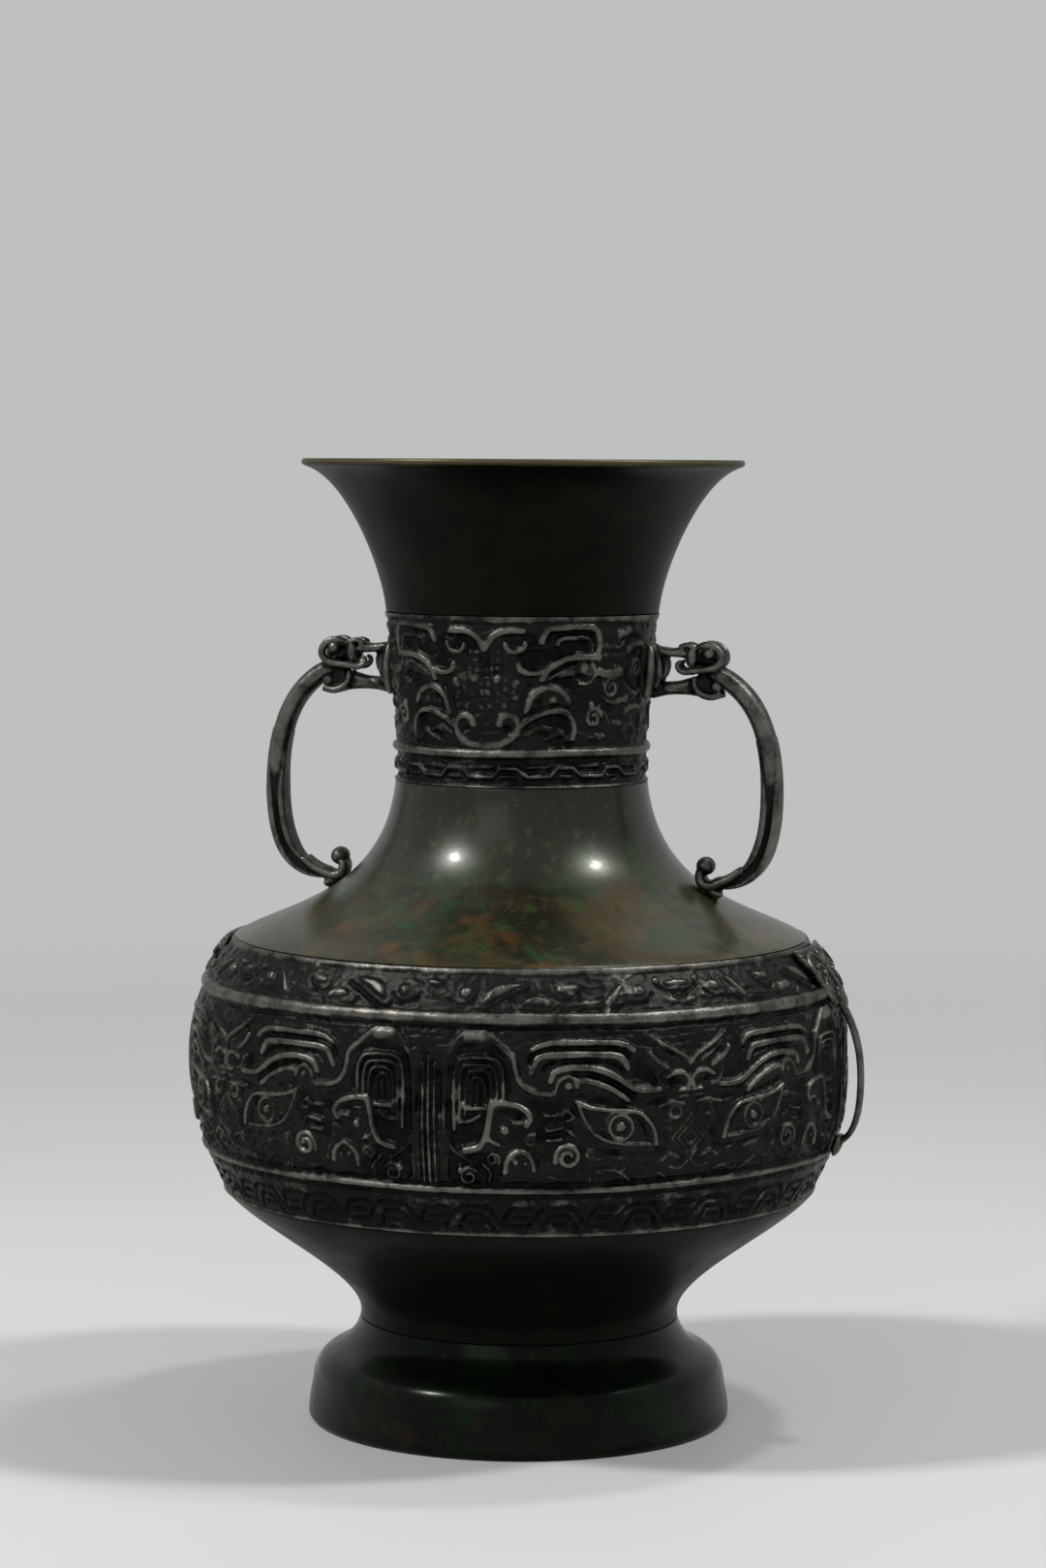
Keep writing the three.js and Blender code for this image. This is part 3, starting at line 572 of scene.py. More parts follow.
def belly_mask() -> list[Stroke]:
    """Half of one belly mask: a coiled body beside the seam, then brow, eye, nose and forehead."""
    marks = [
        hollow(1.4, 0.4, (3.4, 99), (3.4, 131), (4.6, 140), (9.4, 145), (16.5, 145.6), (22, 141.6),
               (24.6, 136), (25, 128), (20, 126), (18, 116), (21, 110), (20, 99)),
        hollow(2.2, 0.3, (28, 128), (37, 126.8), (46, 126), (47, 118), (42, 113), (35, 111), (30, 113),
               (32, 120)),
        hollow(1.6, 0.35, (46, 129.4), (56, 127), (66, 125.6), (76, 126.4), (77, 122.4), (66, 123.6),
               (50, 125)),
        hollow(1.6, 0.3, (47, 112), (56, 110.8), (72, 110), (76, 118), (78, 112), (74, 107), (56, 108)),
        hollow(1.6, 0.3, (65, 139), (72, 137), (76, 131), (70, 130.4), (64, 133)),
        raised(2.6, 0.6, (31, 137), (33, 146), (60, 146), (66, 142), (63, 134), (74, 130.6), (75, 128),
               (64, 126.6), (50, 127.6), (38, 129)),
        raised(3.4, 0.5, (45.5, 126), (55, 123.6), (65, 123), (70, 119.5), (72.8, 112), (63, 111.2),
               (52, 113.6), (47, 119)),
        raised(1.6, 0.42, (18, 126.4), (26, 126), (31.4, 121.6), (28, 116.4), (20, 110.4), (13, 108.4),
               (9, 109), (14, 113)),
        raised(1.2, 0.62, (-8, 143), (4, 144.4), (8, 149), (20, 149), (27, 143.4), (33, 146.4),
               (60, 147.4), (70, 145), (74, 148), (92, 147), (92, 152), (-8, 152)),
        raised(1.0, 0.5, (25.6, 145), (32, 145), (30.4, 137), (31.6, 131.4), (28.6, 133.4), (27, 139)),
        hollow(0.8, 0.35, (-4.6, 98.6), (-4.6, 139.6), (-0.6, 138.6), (2.0, 130), (2.0, 99)),
        ridge(1.4, 1.0, (-2.5, 98.4), (-2.5, 139)),
        ridge(1.2, 0.95, (-0.5, 98.4), (-0.6, 137)),
        ridge(1.2, 0.75, (1.3, 99), (1.2, 121)),
        ridge(1.8, 0.65, (2.9, 100), (2.7, 118), (2.6, 130), (3.2, 137.5), (4.6, 141.6)),
        ridge(2.4, 0.9, (4.2, 140.8), (6.2, 144.4), (9, 147), (10.5, 148.2), (15.8, 148.2)),
        ridge(2.5, 1.05, (15.4, 148.2), (18.2, 146), (22, 142.9), (25, 140.2), (25.9, 136.6),
              (26.9, 133.2), (28.9, 130.6), (32, 129), (37.4, 128.3)),
        ridge(4.8, 1.1, (10.4, 146.4), (15.6, 146.4)),
        ridge(1.7, 1.0, (6.2, 117), (5.9, 130), (6.7, 137), (9.5, 139.5), (18, 139.6), (20.8, 138),
              (21.9, 134), (21.9, 125.6)),
        ridge(1.4, 0.95, (7.9, 119), (7.9, 133), (8.7, 136.4), (11, 137.4), (17, 137.4), (19, 136),
              (19.9, 132), (19.9, 125)),
        ridge(1.3, 0.85, (9.6, 121.6), (9.7, 131), (10.5, 134.6), (12.2, 135.4), (16, 135.4),
              (17.6, 133.6), (18.1, 130), (18.0, 125)),
        ridge(1.2, 0.75, (11.3, 125), (11.4, 131), (12.2, 133.2), (14.6, 133.2), (15.9, 131),
              (16.1, 126)),
        ridge(1.4, 0.55, (13.6, 126), (13.6, 131)),
        ridge(2.0, 1.0, (9, 125), (10.6, 123.7), (15.8, 123.9)),
        ridge(1.8, 0.9, (7.4, 120.6), (9.5, 119.4), (12, 119.9), (14.6, 121.6)),
        ridge(2.8, 1.1, (18.4, 126), (17.2, 120), (16.5, 116), (14.7, 112.2), (12.5, 110.8),
              (9.4, 110.2)),
        ridge(1.7, 0.95, (16.5, 116), (17.8, 113.6), (20.5, 112.2)),
        ridge(1.5, 0.75, (3.8, 114), (5.4, 110.5), (8, 108.4), (11.4, 106)),
        ridge(2.5, 1.15, (18.8, 125.6), (22, 125.6), (25.6, 125), (28.8, 123.4), (30.4, 120.8),
              (29.2, 118.4)),
        groove(1.1, 0.5, (20.5, 123), (24.5, 122.6), (27.4, 121.4)),
        ridge(2.1, 1.1, (25, 119.5), (28, 119.5)),
        bead(1.8, 1.2, (22.3, 116.9)),
        ridge(2.3, 1.15, (22.4, 103.2), (23.2, 107.4), (27, 110.2), (30.6, 107.8), (31.6, 104)),
        bead(1.3, 1.0, (25.6, 106.6)),
        bead(1.2, 0.9, (28.8, 106.2)),
        ridge(1.4, 0.8, (31.4, 110), (33.6, 107.4), (34, 104)),
        bead(1.5, 1.15, (7.9, 103.5)),
        coil(1.5, 0.95, (10.6, 101.5), 3.2, 40),
        ridge(1.5, 0.8, (15, 106), (17.6, 103.2), (17.2, 99.8)),
        ridge(1.4, 0.7, (3.4, 108), (3.2, 101.4), (5, 98.8)),
        ridge(2.7, 1.05, (31.8, 142.4), (36, 144.4), (45, 144.7), (60, 144.4), (65, 141.8)),
        ridge(3.0, 1.15, (30.9, 135.4), (32.6, 139), (36, 140.7), (45, 141), (58, 140.6), (61.4, 138.9),
              (62.6, 136.4)),
        ridge(2.8, 1.15, (37.2, 132.6), (39, 135.5), (45, 136.8), (52, 136.3), (58, 134), (63, 130.9),
              (66, 129.4), (70, 128.9), (74, 129.2)),
        ridge(2.5, 1.1, (45.6, 132.2), (50, 132.2), (56, 130.2), (60, 127.9), (62.8, 126)),
        groove(1.2, 0.95, (30.6, 137.8), (31.6, 141), (36, 142.5), (45, 142.8), (60, 142.4),
               (63.6, 139.6)),
        groove(1.2, 0.9, (35, 136.2), (38, 138.3), (50, 138.9), (58, 138), (61.6, 135.2)),
        groove(1.2, 0.95, (44.6, 134.6), (50, 134.4), (56, 132.5), (62, 129.2), (65.6, 126.8)),
        bead(1.7, 1.1, (43.0, 130.8)),
        ridge(1.6, 1.1, (38.6, 128.4), (39.2, 131), (40.6, 133), (43, 134), (45.4, 132.8), (46, 130.4)),
        ridge(2.0, 1.2, (45.6, 125.8), (50, 123.9), (55, 123), (60, 122.7), (65, 122.2), (68, 121),
              (70.6, 118), (72, 115), (72.6, 111.4)),
        ridge(1.6, 1.0, (46, 124.6), (47.6, 120.8), (49.6, 117), (52.4, 114.4), (56.4, 112.6),
              (63, 111.6), (70.6, 111.4)),
        groove(1.2, 0.4, (49.8, 121.4), (51.7, 117.4), (54.5, 114.8)),
        groove(1.2, 0.5, (65.6, 120.6), (68, 118.2), (69.6, 114)),
        ring(1.6, 1.05, (60.2, 117.3), 4.0),
        bead(2.0, 1.2, (60.2, 117.3)),
        groove(0.9, 0.5, (60.2, 117.3), (60.4, 117.3)),
        ridge(1.3, 0.95, (55.2, 119.2), (56, 121), (57.8, 122)),
        ridge(1.4, 0.8, (50.4, 117.8), (52.4, 116.3), (54.4, 117)),
        coil(2.0, 1.15, (42.5, 108), 4.4, 200, -1.5),
        ridge(1.6, 0.95, (35.6, 116.6), (40.8, 117.4)),
        ridge(1.6, 0.9, (35.6, 113.5), (40.2, 113.7)),
        ridge(1.4, 0.85, (40.6, 121.2), (42.4, 122.8), (44.4, 120.8), (42, 119.6)),
        ridge(1.4, 0.75, (35.4, 121.4), (39, 121.5)),
        ridge(1.3, 0.75, (42.6, 116.2), (45.4, 114)),
        ridge(2.4, 1.1, (70.6, 141), (73, 138.4), (76.8, 136)),
        ridge(2.0, 1.05, (71.4, 146), (75.4, 143.4), (79.6, 141.3), (83.4, 139.3), (86.4, 136)),
        ridge(1.5, 0.95, (73.6, 142.6), (77.4, 139.9), (81.4, 137.6)),
        groove(1.1, 0.6, (72.4, 144.2), (75.4, 141.7), (79, 140)),
        ridge(2.2, 1.1, (76.6, 132.8), (79.4, 134.1), (83, 133.9), (85, 132), (84.4, 129.4)),
        groove(1.6, 0.7, (78.6, 131.4), (81.6, 131)),
        ridge(1.8, 1.1, (81.2, 128.6), (84.8, 128.5)),
        ridge(1.6, 0.95, (81, 126.2), (84.2, 126.6)),
        ridge(1.7, 1.0, (73.2, 133.6), (74.8, 130.6), (77.6, 129.3)),
        ring(1.4, 1.0, (79.5, 121.6), 2.1),
        ridge(1.7, 0.95, (73.6, 123.6), (78, 124.4), (83, 124)),
        ridge(1.8, 0.95, (74.6, 105.6), (77.4, 107.6), (81.6, 106.2)),
        ridge(1.7, 0.9, (78.4, 103.4), (82, 102.6), (84.8, 105.4), (83.6, 108.6)),
        ridge(1.7, 0.8, (49.6, 106.4), (56, 107.8), (62, 106.8), (66.4, 104)),
        ridge(1.7, 0.8, (49.6, 102.4), (55, 103.6), (60, 102.4), (64, 99.6)),
        ridge(1.5, 0.75, (66.8, 108.2), (70.6, 106.2), (72.4, 102.2)),
        ridge(1.6, 0.8, (68.4, 100.4), (73, 101.8), (77.4, 99.8)),
        ridge(1.6, 0.8, (36.2, 101.8), (41, 100.8), (47, 103)),
        ridge(1.5, 0.7, (21, 99.6), (27, 100.6), (33, 99.8)),
    ]
    for reach in (7.4, 5.0, 2.6):
        tip, side = (85.5, 112.8), (85.5 - reach, 112.8)
        marks.append(ridge(1.4, 0.85, (tip[0], tip[1] + reach), side))
        marks.append(ridge(1.4, 0.85, side, (tip[0], tip[1] - reach)))
    for along, height, size in ((53, 100.8, 2.6), (60.4, 104.6, 2.2), (68, 101.8, 2.4), (30.6, 113.6, 1.8),
                                (18.4, 107.4, 2.0), (76.4, 117.4, 1.7), (6.2, 128, 1.2), (50, 108.8, 1.6)):
        marks.append(coil(1.3, 0.8, (along, height), 1.2 * size, 37 * along))
    for height, start, end in ((147.2, 30, 68), (149.3, 22, 92), (148.6, -8, 8), (146.0, -8, 6),
                               (145, 68, 74)):
        marks.append(groove(0.8, 0.22, (start, height), ((start + end) / 2, height + 0.5), (end, height)))
    return marks


def belly_scroll() -> list[Stroke]:
    """Half of one repeat of the scroll band on the belly's upper slope: knobs, leaves and tails."""
    return [
        raised(3.0, 1.2, (3.4, 160), (4.4, 157.4), (7.4, 156.8), (10, 158.6), (10.2, 161.6), (7.4, 163.4),
               (4.4, 162.6)),
        raised(2.4, 1.05, (11.2, 156.4), (14, 155.6), (20, 158.4), (27, 161.6), (32, 163.2), (24, 164.2),
               (15, 163)),
        raised(2.8, 1.15, (24.6, 157.2), (26.6, 155.4), (31, 154.9), (35, 156), (34.6, 159.4),
               (30.6, 161.2), (26.6, 160)),
        raised(2.2, 0.95, (36, 159.6), (39, 158.9), (43, 160), (46, 162.6), (41, 164), (36.6, 163.2)),
        raised(2.0, 0.95, (37, 154.8), (42, 154.9), (52, 156.2), (50, 158.8), (44, 158.6), (38, 157)),
        raised(2.2, 1.2, (52, 155), (54.6, 155.4), (60.4, 161.6), (58.4, 163.6), (55.4, 162.2),
               (51.2, 157.6)),
        raised(3.0, 1.15, (60.8, 158.2), (63, 157.2), (67, 158), (68.4, 161), (65.6, 163.4),
               (61.8, 162.6)),
        raised(2.4, 1.05, (72.4, 162), (75, 159.9), (82, 159.9), (88, 160.4), (88, 163.6), (76, 164)),
        raised(2.2, 1.05, (71.6, 158.6), (73.4, 155.4), (79, 154.4), (83, 155), (77, 158.4)),
        raised(2.0, 0.95, (12.4, 153.6), (20, 154.6), (26, 154), (22, 156.2), (16, 154.6)),
        raised(2.4, 1.0, (-8, 162), (-3.5, 160.4), (1, 162), (2, 164.4), (-3.5, 165), (-9, 164.4)),
        groove(1.5, 0.55, (1.6, 158), (3.6, 156.9), (6.6, 156.2), (9.4, 156.9), (10.6, 158.6)),
        groove(1.4, 0.65, (10.4, 156.2), (11.4, 154.7), (13.4, 154.4), (16.4, 155.6), (20, 157.6),
               (24, 159.7), (28, 161.3)),
        groove(1.1, 0.5, (22.8, 157), (24.4, 154.9), (28, 154), (34, 153.9), (36.2, 155.4)),
        groove(0.9, 0.35, (26.4, 158.6), (29, 159.4), (31.6, 158.6)),
        groove(1.2, 0.5, (35.6, 158.8), (38, 157.7), (42, 158.8), (44.6, 160.8)),
        groove(1.0, 0.4, (36, 154.2), (42, 154.1), (47, 155), (51, 154.7)),
        groove(0.9, 0.35, (46.6, 157.4), (51.4, 158.4)),
        groove(1.1, 0.5, (54.4, 154.8), (58.4, 156.2), (61.4, 156.4), (66, 156.8), (69, 159.2)),
        groove(1.0, 0.45, (70.6, 162), (72.6, 160.6), (75, 159.4), (83, 159.1), (88, 159.3)),
        groove(1.3, 0.55, (76.4, 158.6), (81.6, 157), (87, 154.6)),
        groove(0.9, 0.35, (57, 153.6), (64, 154), (71, 154.4)),
        groove(0.9, 0.4, (-8, 159.4), (-3.5, 158.2), (1, 159.4)),
        bead(1.2, 1.25, (33.4, 157)),
        bead(1.3, 1.2, (71.4, 162.8)),
    ]


def belly_fret() -> list[Stroke]:
    """One repeat of the linked key-fret low on the belly, cut into its ground."""
    return [groove(1.6, 0.6, *points) for points in (
        ((20.3, 84.4), (22.6, 89.0), (24.4, 90.2), (30.4, 90.2)),
        ((24, 87), (28.8, 87)),
        ((21.6, 83.9), (27.2, 83.9)),
        ((29, 83.4), (31.3, 87.3), (34.6, 90.4), (43.2, 90.4), (45.4, 87.4), (47.9, 84.2)),
        ((33.8, 82.8), (35.4, 86.4), (36.8, 87.7), (40.8, 87.7), (43.2, 86), (45.2, 82.9)),
        ((37.6, 84.8), (41.4, 84.8)),
    )]


def spread_out(number: int) -> Point:
    """Where a numbered mark falls across and up a square, so that the marks keep apart."""
    return 0.7549 * number % 1, 0.5698 * number % 1


def neck_mask() -> list[Stroke]:
    """Half of one neck mask, from the line through its nose to the side of the neck."""
    marks = [
        hollow(1.4, 0.35, (-1.5, 266), (0.5, 270.4), (4, 272.6), (14, 273), (17, 269), (18, 262),
               (12, 258), (-1.5, 257)),
        hollow(1.2, 0.35, (18.6, 270), (20.4, 272.6), (35, 272.8), (37, 266), (30, 264.6), (21, 263)),
        hollow(1.2, 0.35, (14, 253.4), (20, 256), (29, 258), (33, 255), (28, 252.6), (18, 254)),
        hollow(1.4, 0.3, (12, 244.4), (15, 247.6), (24, 248.4), (30, 246), (30, 236), (20, 235.4),
               (12, 238)),
        raised(1.6, 0.6, (4.6, 256.6), (4.8, 266.4), (10.2, 266.2), (10.8, 257)),
        raised(2.0, 0.75, (18, 257), (22, 260.6), (28, 262.6), (37, 263), (36.4, 256.4), (31, 254.8),
               (24, 256)),
        raised(1.8, 0.65, (13.4, 246.4), (16, 252), (22, 253.4), (27, 249.6), (24, 246.8)),
        raised(1.6, 0.6, (-8, 246), (-8, 233.4), (5, 233.8), (11, 239.6), (10, 244.6), (3.6, 246)),
        raised(1.8, 0.6, (38.6, 262), (50, 262), (52, 255.6), (44, 250.4), (39.6, 255)),
        ridge(2.7, 1.1, (17.3, 269.6), (18.7, 272.6), (20.8, 274), (33.6, 274.4), (37, 272.4),
              (38.1, 268), (37.4, 265)),
        groove(1.2, 0.7, (20, 269.6), (21.4, 272), (33, 272.3), (36, 269.8), (36, 266)),
        ridge(1.8, 0.95, (22.6, 268.6), (24.3, 270.5), (32.4, 270.6), (34.8, 269.2), (35, 266.2)),
        groove(3.2, 1.0, (25.4, 267.6), (31.6, 267.4)),
        groove(2.2, 0.8, (17.6, 265.4), (22, 264.8)),
        ridge(2.8, 1.1, (18, 256.8), (20, 260), (23.5, 262.6), (28.2, 264), (38, 264.3)),
        ridge(2.0, 0.9, (20, 256.8), (23.4, 259), (29.4, 260.1)),
        groove(1.2, 0.85, (20.4, 258.4), (26, 261.6), (30.5, 262.5), (35.4, 261.8), (37, 259)),
        groove(2.2, 0.9, (14, 254.6), (21, 255.2), (28, 257)),
        bead(1.9, 1.1, (32.3, 261.1)),
        ridge(1.6, 1.0, (35.5, 262), (37, 259), (34.8, 255.6), (31, 255.2)),
        groove(3.0, 1.0, (30.6, 257.6), (32.8, 257)),
        ridge(3.2, 1.15, (38.4, 259.3), (41.2, 258.6), (44.6, 258.6), (48.4, 259.4)),
        coil(1.8, 1.0, (44.4, 253.8), 3.5, 80),
        ridge(3.0, 1.1, (46.4, 271.4), (50.9, 273)),
        ridge(2.6, 1.1, (-1.5, 267), (0, 270), (2.9, 272.4), (6, 273.3), (11, 273.2)),
        groove(4.0, 1.0, (7.8, 269.7), (9.8, 269.7)),
        ridge(2.1, 1.1, (5.7, 268.6), (6.6, 266.8), (8.8, 266), (11.2, 266.9), (12.2, 269)),
        groove(4.0, 1.0, (12, 264), (13.4, 261.8)),
        ridge(2.2, 1.1, (10, 261.8), (11.2, 259.6), (14.7, 258.8), (18.8, 259.6)),
        bead(1.4, 1.1, (9.4, 256)),
        ridge(2.6, 1.1, (12.5, 245.8), (13.6, 249.8), (16, 252.6), (19.4, 254), (23, 253.4),
              (26.2, 251.4), (27.6, 248.8)),
        groove(2.4, 0.9, (15.8, 247.6), (18, 250.6)),
        bead(1.7, 1.0, (21.6, 250)),
        groove(2.0, 0.9, (13.4, 245.2), (18, 246.8), (24, 247.4)),
        ridge(2.4, 1.1, (10.6, 241.3), (13.5, 243.2), (17.6, 245), (22.4, 246), (26.2, 245.4),
              (28.7, 243.2), (29.6, 240), (28.9, 236.8)),
        groove(1.1, 0.6, (12, 240.6), (17, 243.1), (22.4, 244.1), (25.9, 243.4), (27.6, 240.4)),
        groove(3.4, 0.9, (22.8, 242), (25, 242)),
        ridge(2.0, 0.85, (12.4, 238.4), (16.8, 240.4), (20.6, 239.8)),
        ridge(1.8, 0.8, (19.6, 236.6), (24.4, 238.6), (27.4, 236.2)),
        groove(1.6, 0.7, (21.6, 234.8), (29, 234.8)),
        bead(1.7, 1.15, (36.2, 247.4)),
        coil(1.9, 1.05, (37.2, 243.6), 3.6, 10),
        ridge(1.7, 0.9, (38, 247), (41.8, 245.6), (44, 242)),
        ridge(2.4, 1.0, (46, 242), (49.6, 242)),
        ridge(1.8, 0.8, (31, 238.8), (36, 236.8), (42.4, 237.4)),
        ridge(1.8, 0.85, (41, 250.2), (46, 248.8), (52, 249.8)),
        ridge(2.8, 1.1, (-1.5, 234.6), (4.2, 235.5), (7.9, 237.8), (9.6, 240.8), (9.2, 243.2),
              (7.1, 244.7), (4.1, 244.4), (3, 242)),
        groove(2.2, 0.8, (5.4, 240.6), (6.6, 240)),
        ridge(1.5, 0.8, (-1.5, 238.4), (3, 239)),
        ridge(1.4, 0.7, (-1.5, 242), (-1.5, 246)),
        ridge(2.4, 1.0, (51.6, 266), (56, 268.2), (61, 267.4), (64, 263.6)),
        coil(1.9, 1.0, (57.6, 260), 3.6, 210, -1.3),
        ridge(2.2, 0.9, (51.6, 254.8), (57, 252.2), (62.4, 252.8)),
        ridge(2.2, 0.9, (52.6, 246), (58, 247.6), (62.8, 245.2), (63.2, 240.6)),
        ridge(2.0, 0.8, (50.6, 240), (56, 241.6), (59, 238.4)),
        ridge(1.8, 0.8, (40.4, 268.4), (45, 267.4), (49, 268.4)),
        ridge(1.6, 0.7, (40.4, 265), (46, 264.2), (51, 264.6)),
    ]
    for height in (265.2, 262.6, 260.2, 257.8):
        for along in (1.2, 3.6):
            marks.append(bead(1.1, 0.75, (along, height)))
    for i in range(17):
        along, up = spread_out(i)
        marks.append(bead(1.5, 0.7 + 0.3 * (0.37 * i % 1), (-1 + 12.4 * along, 246.6 + 10.2 * up)))
    for i in range(9):
        along, up = spread_out(i)
        marks.append(bead(1.4, 0.9, (39.5 + 24 * along, 237 + 33 * up)))
    return marks


def neck_fret() -> list[Stroke]:
    """One repeat of the small key-fret under the neck's bead."""
    line = ((3, 227.2), (9, 227.2), (12.6, 224.5), (21, 224.5), (23.2, 227.2))
    marks = [ridge(2.1, 1.05, *pair) for pair in zip(line, line[1:])]
    marks.append(ridge(1.5, 0.85, (12.4, 227.6), (20, 227.6)))
    marks.append(ridge(1.5, 0.8, (3.4, 224.4), (8.4, 224.4)))
    return marks


# Cast sections

@dataclass
class PlainSection:
    """A smooth section of the vase, turned from one closed outline.

    Its waves are what the founder's scraper left: their height, their size and where in the noise
    they start.
    """

    node: str
    slot: Slot
    waves: Point
    facets: int = 288
    edge_radius: float = 0.3

    def profile(self) -> Path:
        """The closed outline of the wall with its tongues and sockets."""
        raise NotImplementedError

    def hand_work(self, points: np.ndarray) -> np.ndarray:
        """The turned surface's points as the founder's hand left them, in metres."""
        return uneven(points, *self.waves)

    def build(self, material: bpy.types.Material) -> bpy.types.Object:
        """Turns, softens and dresses the section."""
        bm = spun(self.profile(), self.facets)
        soften(bm, self.edge_radius)
        piece = object_of(bm, self.node + "_cast")
        move_to(piece.data, self.hand_work(places(piece.data)))
        put_on(piece, material, self.slot, self.node)
        return piece


def uneven(points: np.ndarray, amount: float, size: float, seed: float) -> np.ndarray:
    """Moves points in and out by a slow unevenness.

    Args:
        points: places in metres.
        amount: greatest move in millimetres.
        size: size of the waves in millimetres.
        seed: where in the noise to start.

    Returns:
        The moved places.
    """
    start = Vector((seed, seed, seed))
    moves = np.array([noise.noise(Vector(point) / (size * MM) + start) for point in points]) * amount * MM
    outward = points[:, :2] / np.maximum(np.linalg.norm(points[:, :2], axis=1), 1e-6)[:, None]
    moved = points.copy()
    moved[:, :2] += outward * moves[:, None]
    return moved


@dataclass
class FootRing(PlainSection):
    """The domed foot, hollow below, on a thick standing rim."""

    node: str = "foot_ring"
    slot: Slot = Slot.FOOT
    waves: Point = (0.12, 45, 3.0)
    rim_width: float = 6.5
    rim_height: float = 4.0
    socket: float = 51.8

    def profile(self) -> Path:
        """The closed outline of the foot."""
        outer = evenly(FORM.foot(), 1.0)
        root = FORM.foot_height - FORM.tongue_root
        inner = above(below(shifted(outer, FORM.foot_wall), root), self.rim_height + 0.4)
        inner_rim = FORM.foot_radius - self.rim_width
        return (outer + [(self.socket, FORM.foot_height), (self.socket, root), (inner[-1][0], root)]
                + inner[::-3] + [(inner_rim, self.rim_height), (inner_rim, 0.0)])


@dataclass
class LowerBowl(PlainSection):
    """The plain bowl, with a tongue at each end and a ledge for the floor plate."""

    node: str = "lower_bowl"
    slot: Slot = Slot.PLAIN
    waves: Point = (0.1, 30, 11.0)
    low_tongue: Point = (51.5, 49.7)
    high_tongue: Point = (96.7, 94.9)
    ledge_radius: float = 45.7
    ledge_thickness: float = 2.4
    blend: Point = (1.0, 3.0)

    def profile(self) -> Path:
        """The closed outline of the bowl. Its wall runs over into the upper tongue along the blend."""
        outer = evenly(FORM.bowl(), 1.0)
        floor = FORM.foot_height - FORM.tongue
        ledge = floor + self.ledge_thickness
        root = FORM.foot_height + FORM.tongue_root + FORM.seam_gap
        inner = above(below(shifted(outer, FORM.plain_wall), FORM.bowl_top - self.blend[1]), root)
        top = FORM.bowl_top + FORM.tongue
        (high_outer, high_inner), (low_outer, low_inner) = self.high_tongue, self.low_tongue
        return (outer + [(high_outer, FORM.bowl_top), (high_outer, top), (high_inner, top),
                         (high_inner, FORM.bowl_top - self.blend[0])]
                + inner[::-2] + [(low_inner, root), (low_inner, ledge), (self.ledge_radius, ledge),
                                 (self.ledge_radius, floor), (low_outer, floor), (low_outer, outer[0][1])])


@dataclass
class Shoulder(PlainSection):
    """The glossy shoulder, with a tongue into the belly and a socket for the neck."""

    node: str = "shoulder"
    slot: Slot = Slot.MOTTLED
    waves: Point = (0.12, 28, 21.0)
    tongue_outer: float = 93.3
    tongue_inner: float = 91.5
    socket: float = 40.7
    facets: int = 320

    def profile(self) -> Path:
        """The closed outline of the shoulder."""
        outer = evenly(FORM.shoulder(), 0.9)
        root = FORM.shoulder_top - FORM.tongue_root
        wall = below(shifted(outer, FORM.plain_wall), root)
        inner = [point for point in wall if point[0] < self.tongue_inner]
        tip = FORM.belly_top - FORM.tongue
        return (outer + [(self.socket, FORM.shoulder_top), (self.socket, root)]
                + inner[::-2] + [(self.tongue_inner, tip), (self.tongue_outer, tip),
                                 (self.tongue_outer, outer[0][1])])


@dataclass
class MouthFlare(PlainSection):
    """The trumpet mouth with its turned-out lip."""

    node: str = "mouth_flare"
    slot: Slot = Slot.PLAIN
    waves: Point = (0.14, 32, 31.0)
    tongue_outer: float = 43.9
    tongue_inner: float = 42.1
    facets: int = 320
    flaws: tuple[Point, ...] = (
        (-0.13, 307.2, 1.4, 0.45), (0.06, 303.4, 1.0, 0.25), (0.62, 301.0, 1.1, 0.3),
        (-0.78, 296.0, 1.2, 0.3), (2.2, 309.0, 1.4, 0.4), (3.6, 299.0, 1.1, 0.3), (4.4, 314.0, 1.3, 0.35))

    def profile(self) -> Path:
        """The closed outline of the mouth."""
        outer = evenly(FORM.flare(), 0.8)
        radius, rim = FORM.mouth_radius, FORM.rim
        lip = [(radius - 0.55, rim - 2.2), (radius - 0.1, rim - 1.75), (radius, rim - 1.1),
               (radius - 0.15, rim - 0.5), (radius - 0.6, rim - 0.1), (radius - 1.2, rim),
               (radius - 1.8, rim - 0.15)]
        root = FORM.neck_top + FORM.tongue_root + FORM.seam_gap
        inner = above(below(shifted(outer, FORM.plain_wall), rim - 0.6), root)
        tip = FORM.neck_top - FORM.tongue
        return (outer + lip + inner[::-1]
                + [(self.tongue_inner, root), (self.tongue_inner, tip), (self.tongue_outer, tip),
                   (self.tongue_outer, outer[0][1])])

    def hand_work(self, points: np.ndarray) -> np.ndarray:
        """The waves, and the few small casting flaws that every such flare has."""
        moved = super().hand_work(points)
        angle = np.arctan2(points[:, 0], -points[:, 1])
        radius = np.linalg.norm(points[:, :2], axis=1)
        wall = np.interp(points[:, 2] / MM, *np.array(FORM.flare()).T[::-1]) * MM
        outer = radius > wall - 0.6 * MM
        for where, height, size, depth in self.flaws:
            round_off = (angle - where + math.pi) % math.tau - math.pi
            away = np.hypot(round_off * radius, points[:, 2] - height * MM) / (size * MM)
            pit = np.where(outer, depth * np.exp(-away ** 2), 0) * MM
            moved[:, :2] -= points[:, :2] / np.maximum(radius, 1e-6)[:, None] * pit[:, None]
        return moved


def half_round(z: np.ndarray, middle: float, width: float, height: float) -> np.ndarray:
    """A rib all round: its height above the ground at each level."""
    return height * np.sqrt(np.clip(1 - ((z - middle) / (width / 2)) ** 2, 0, 1))


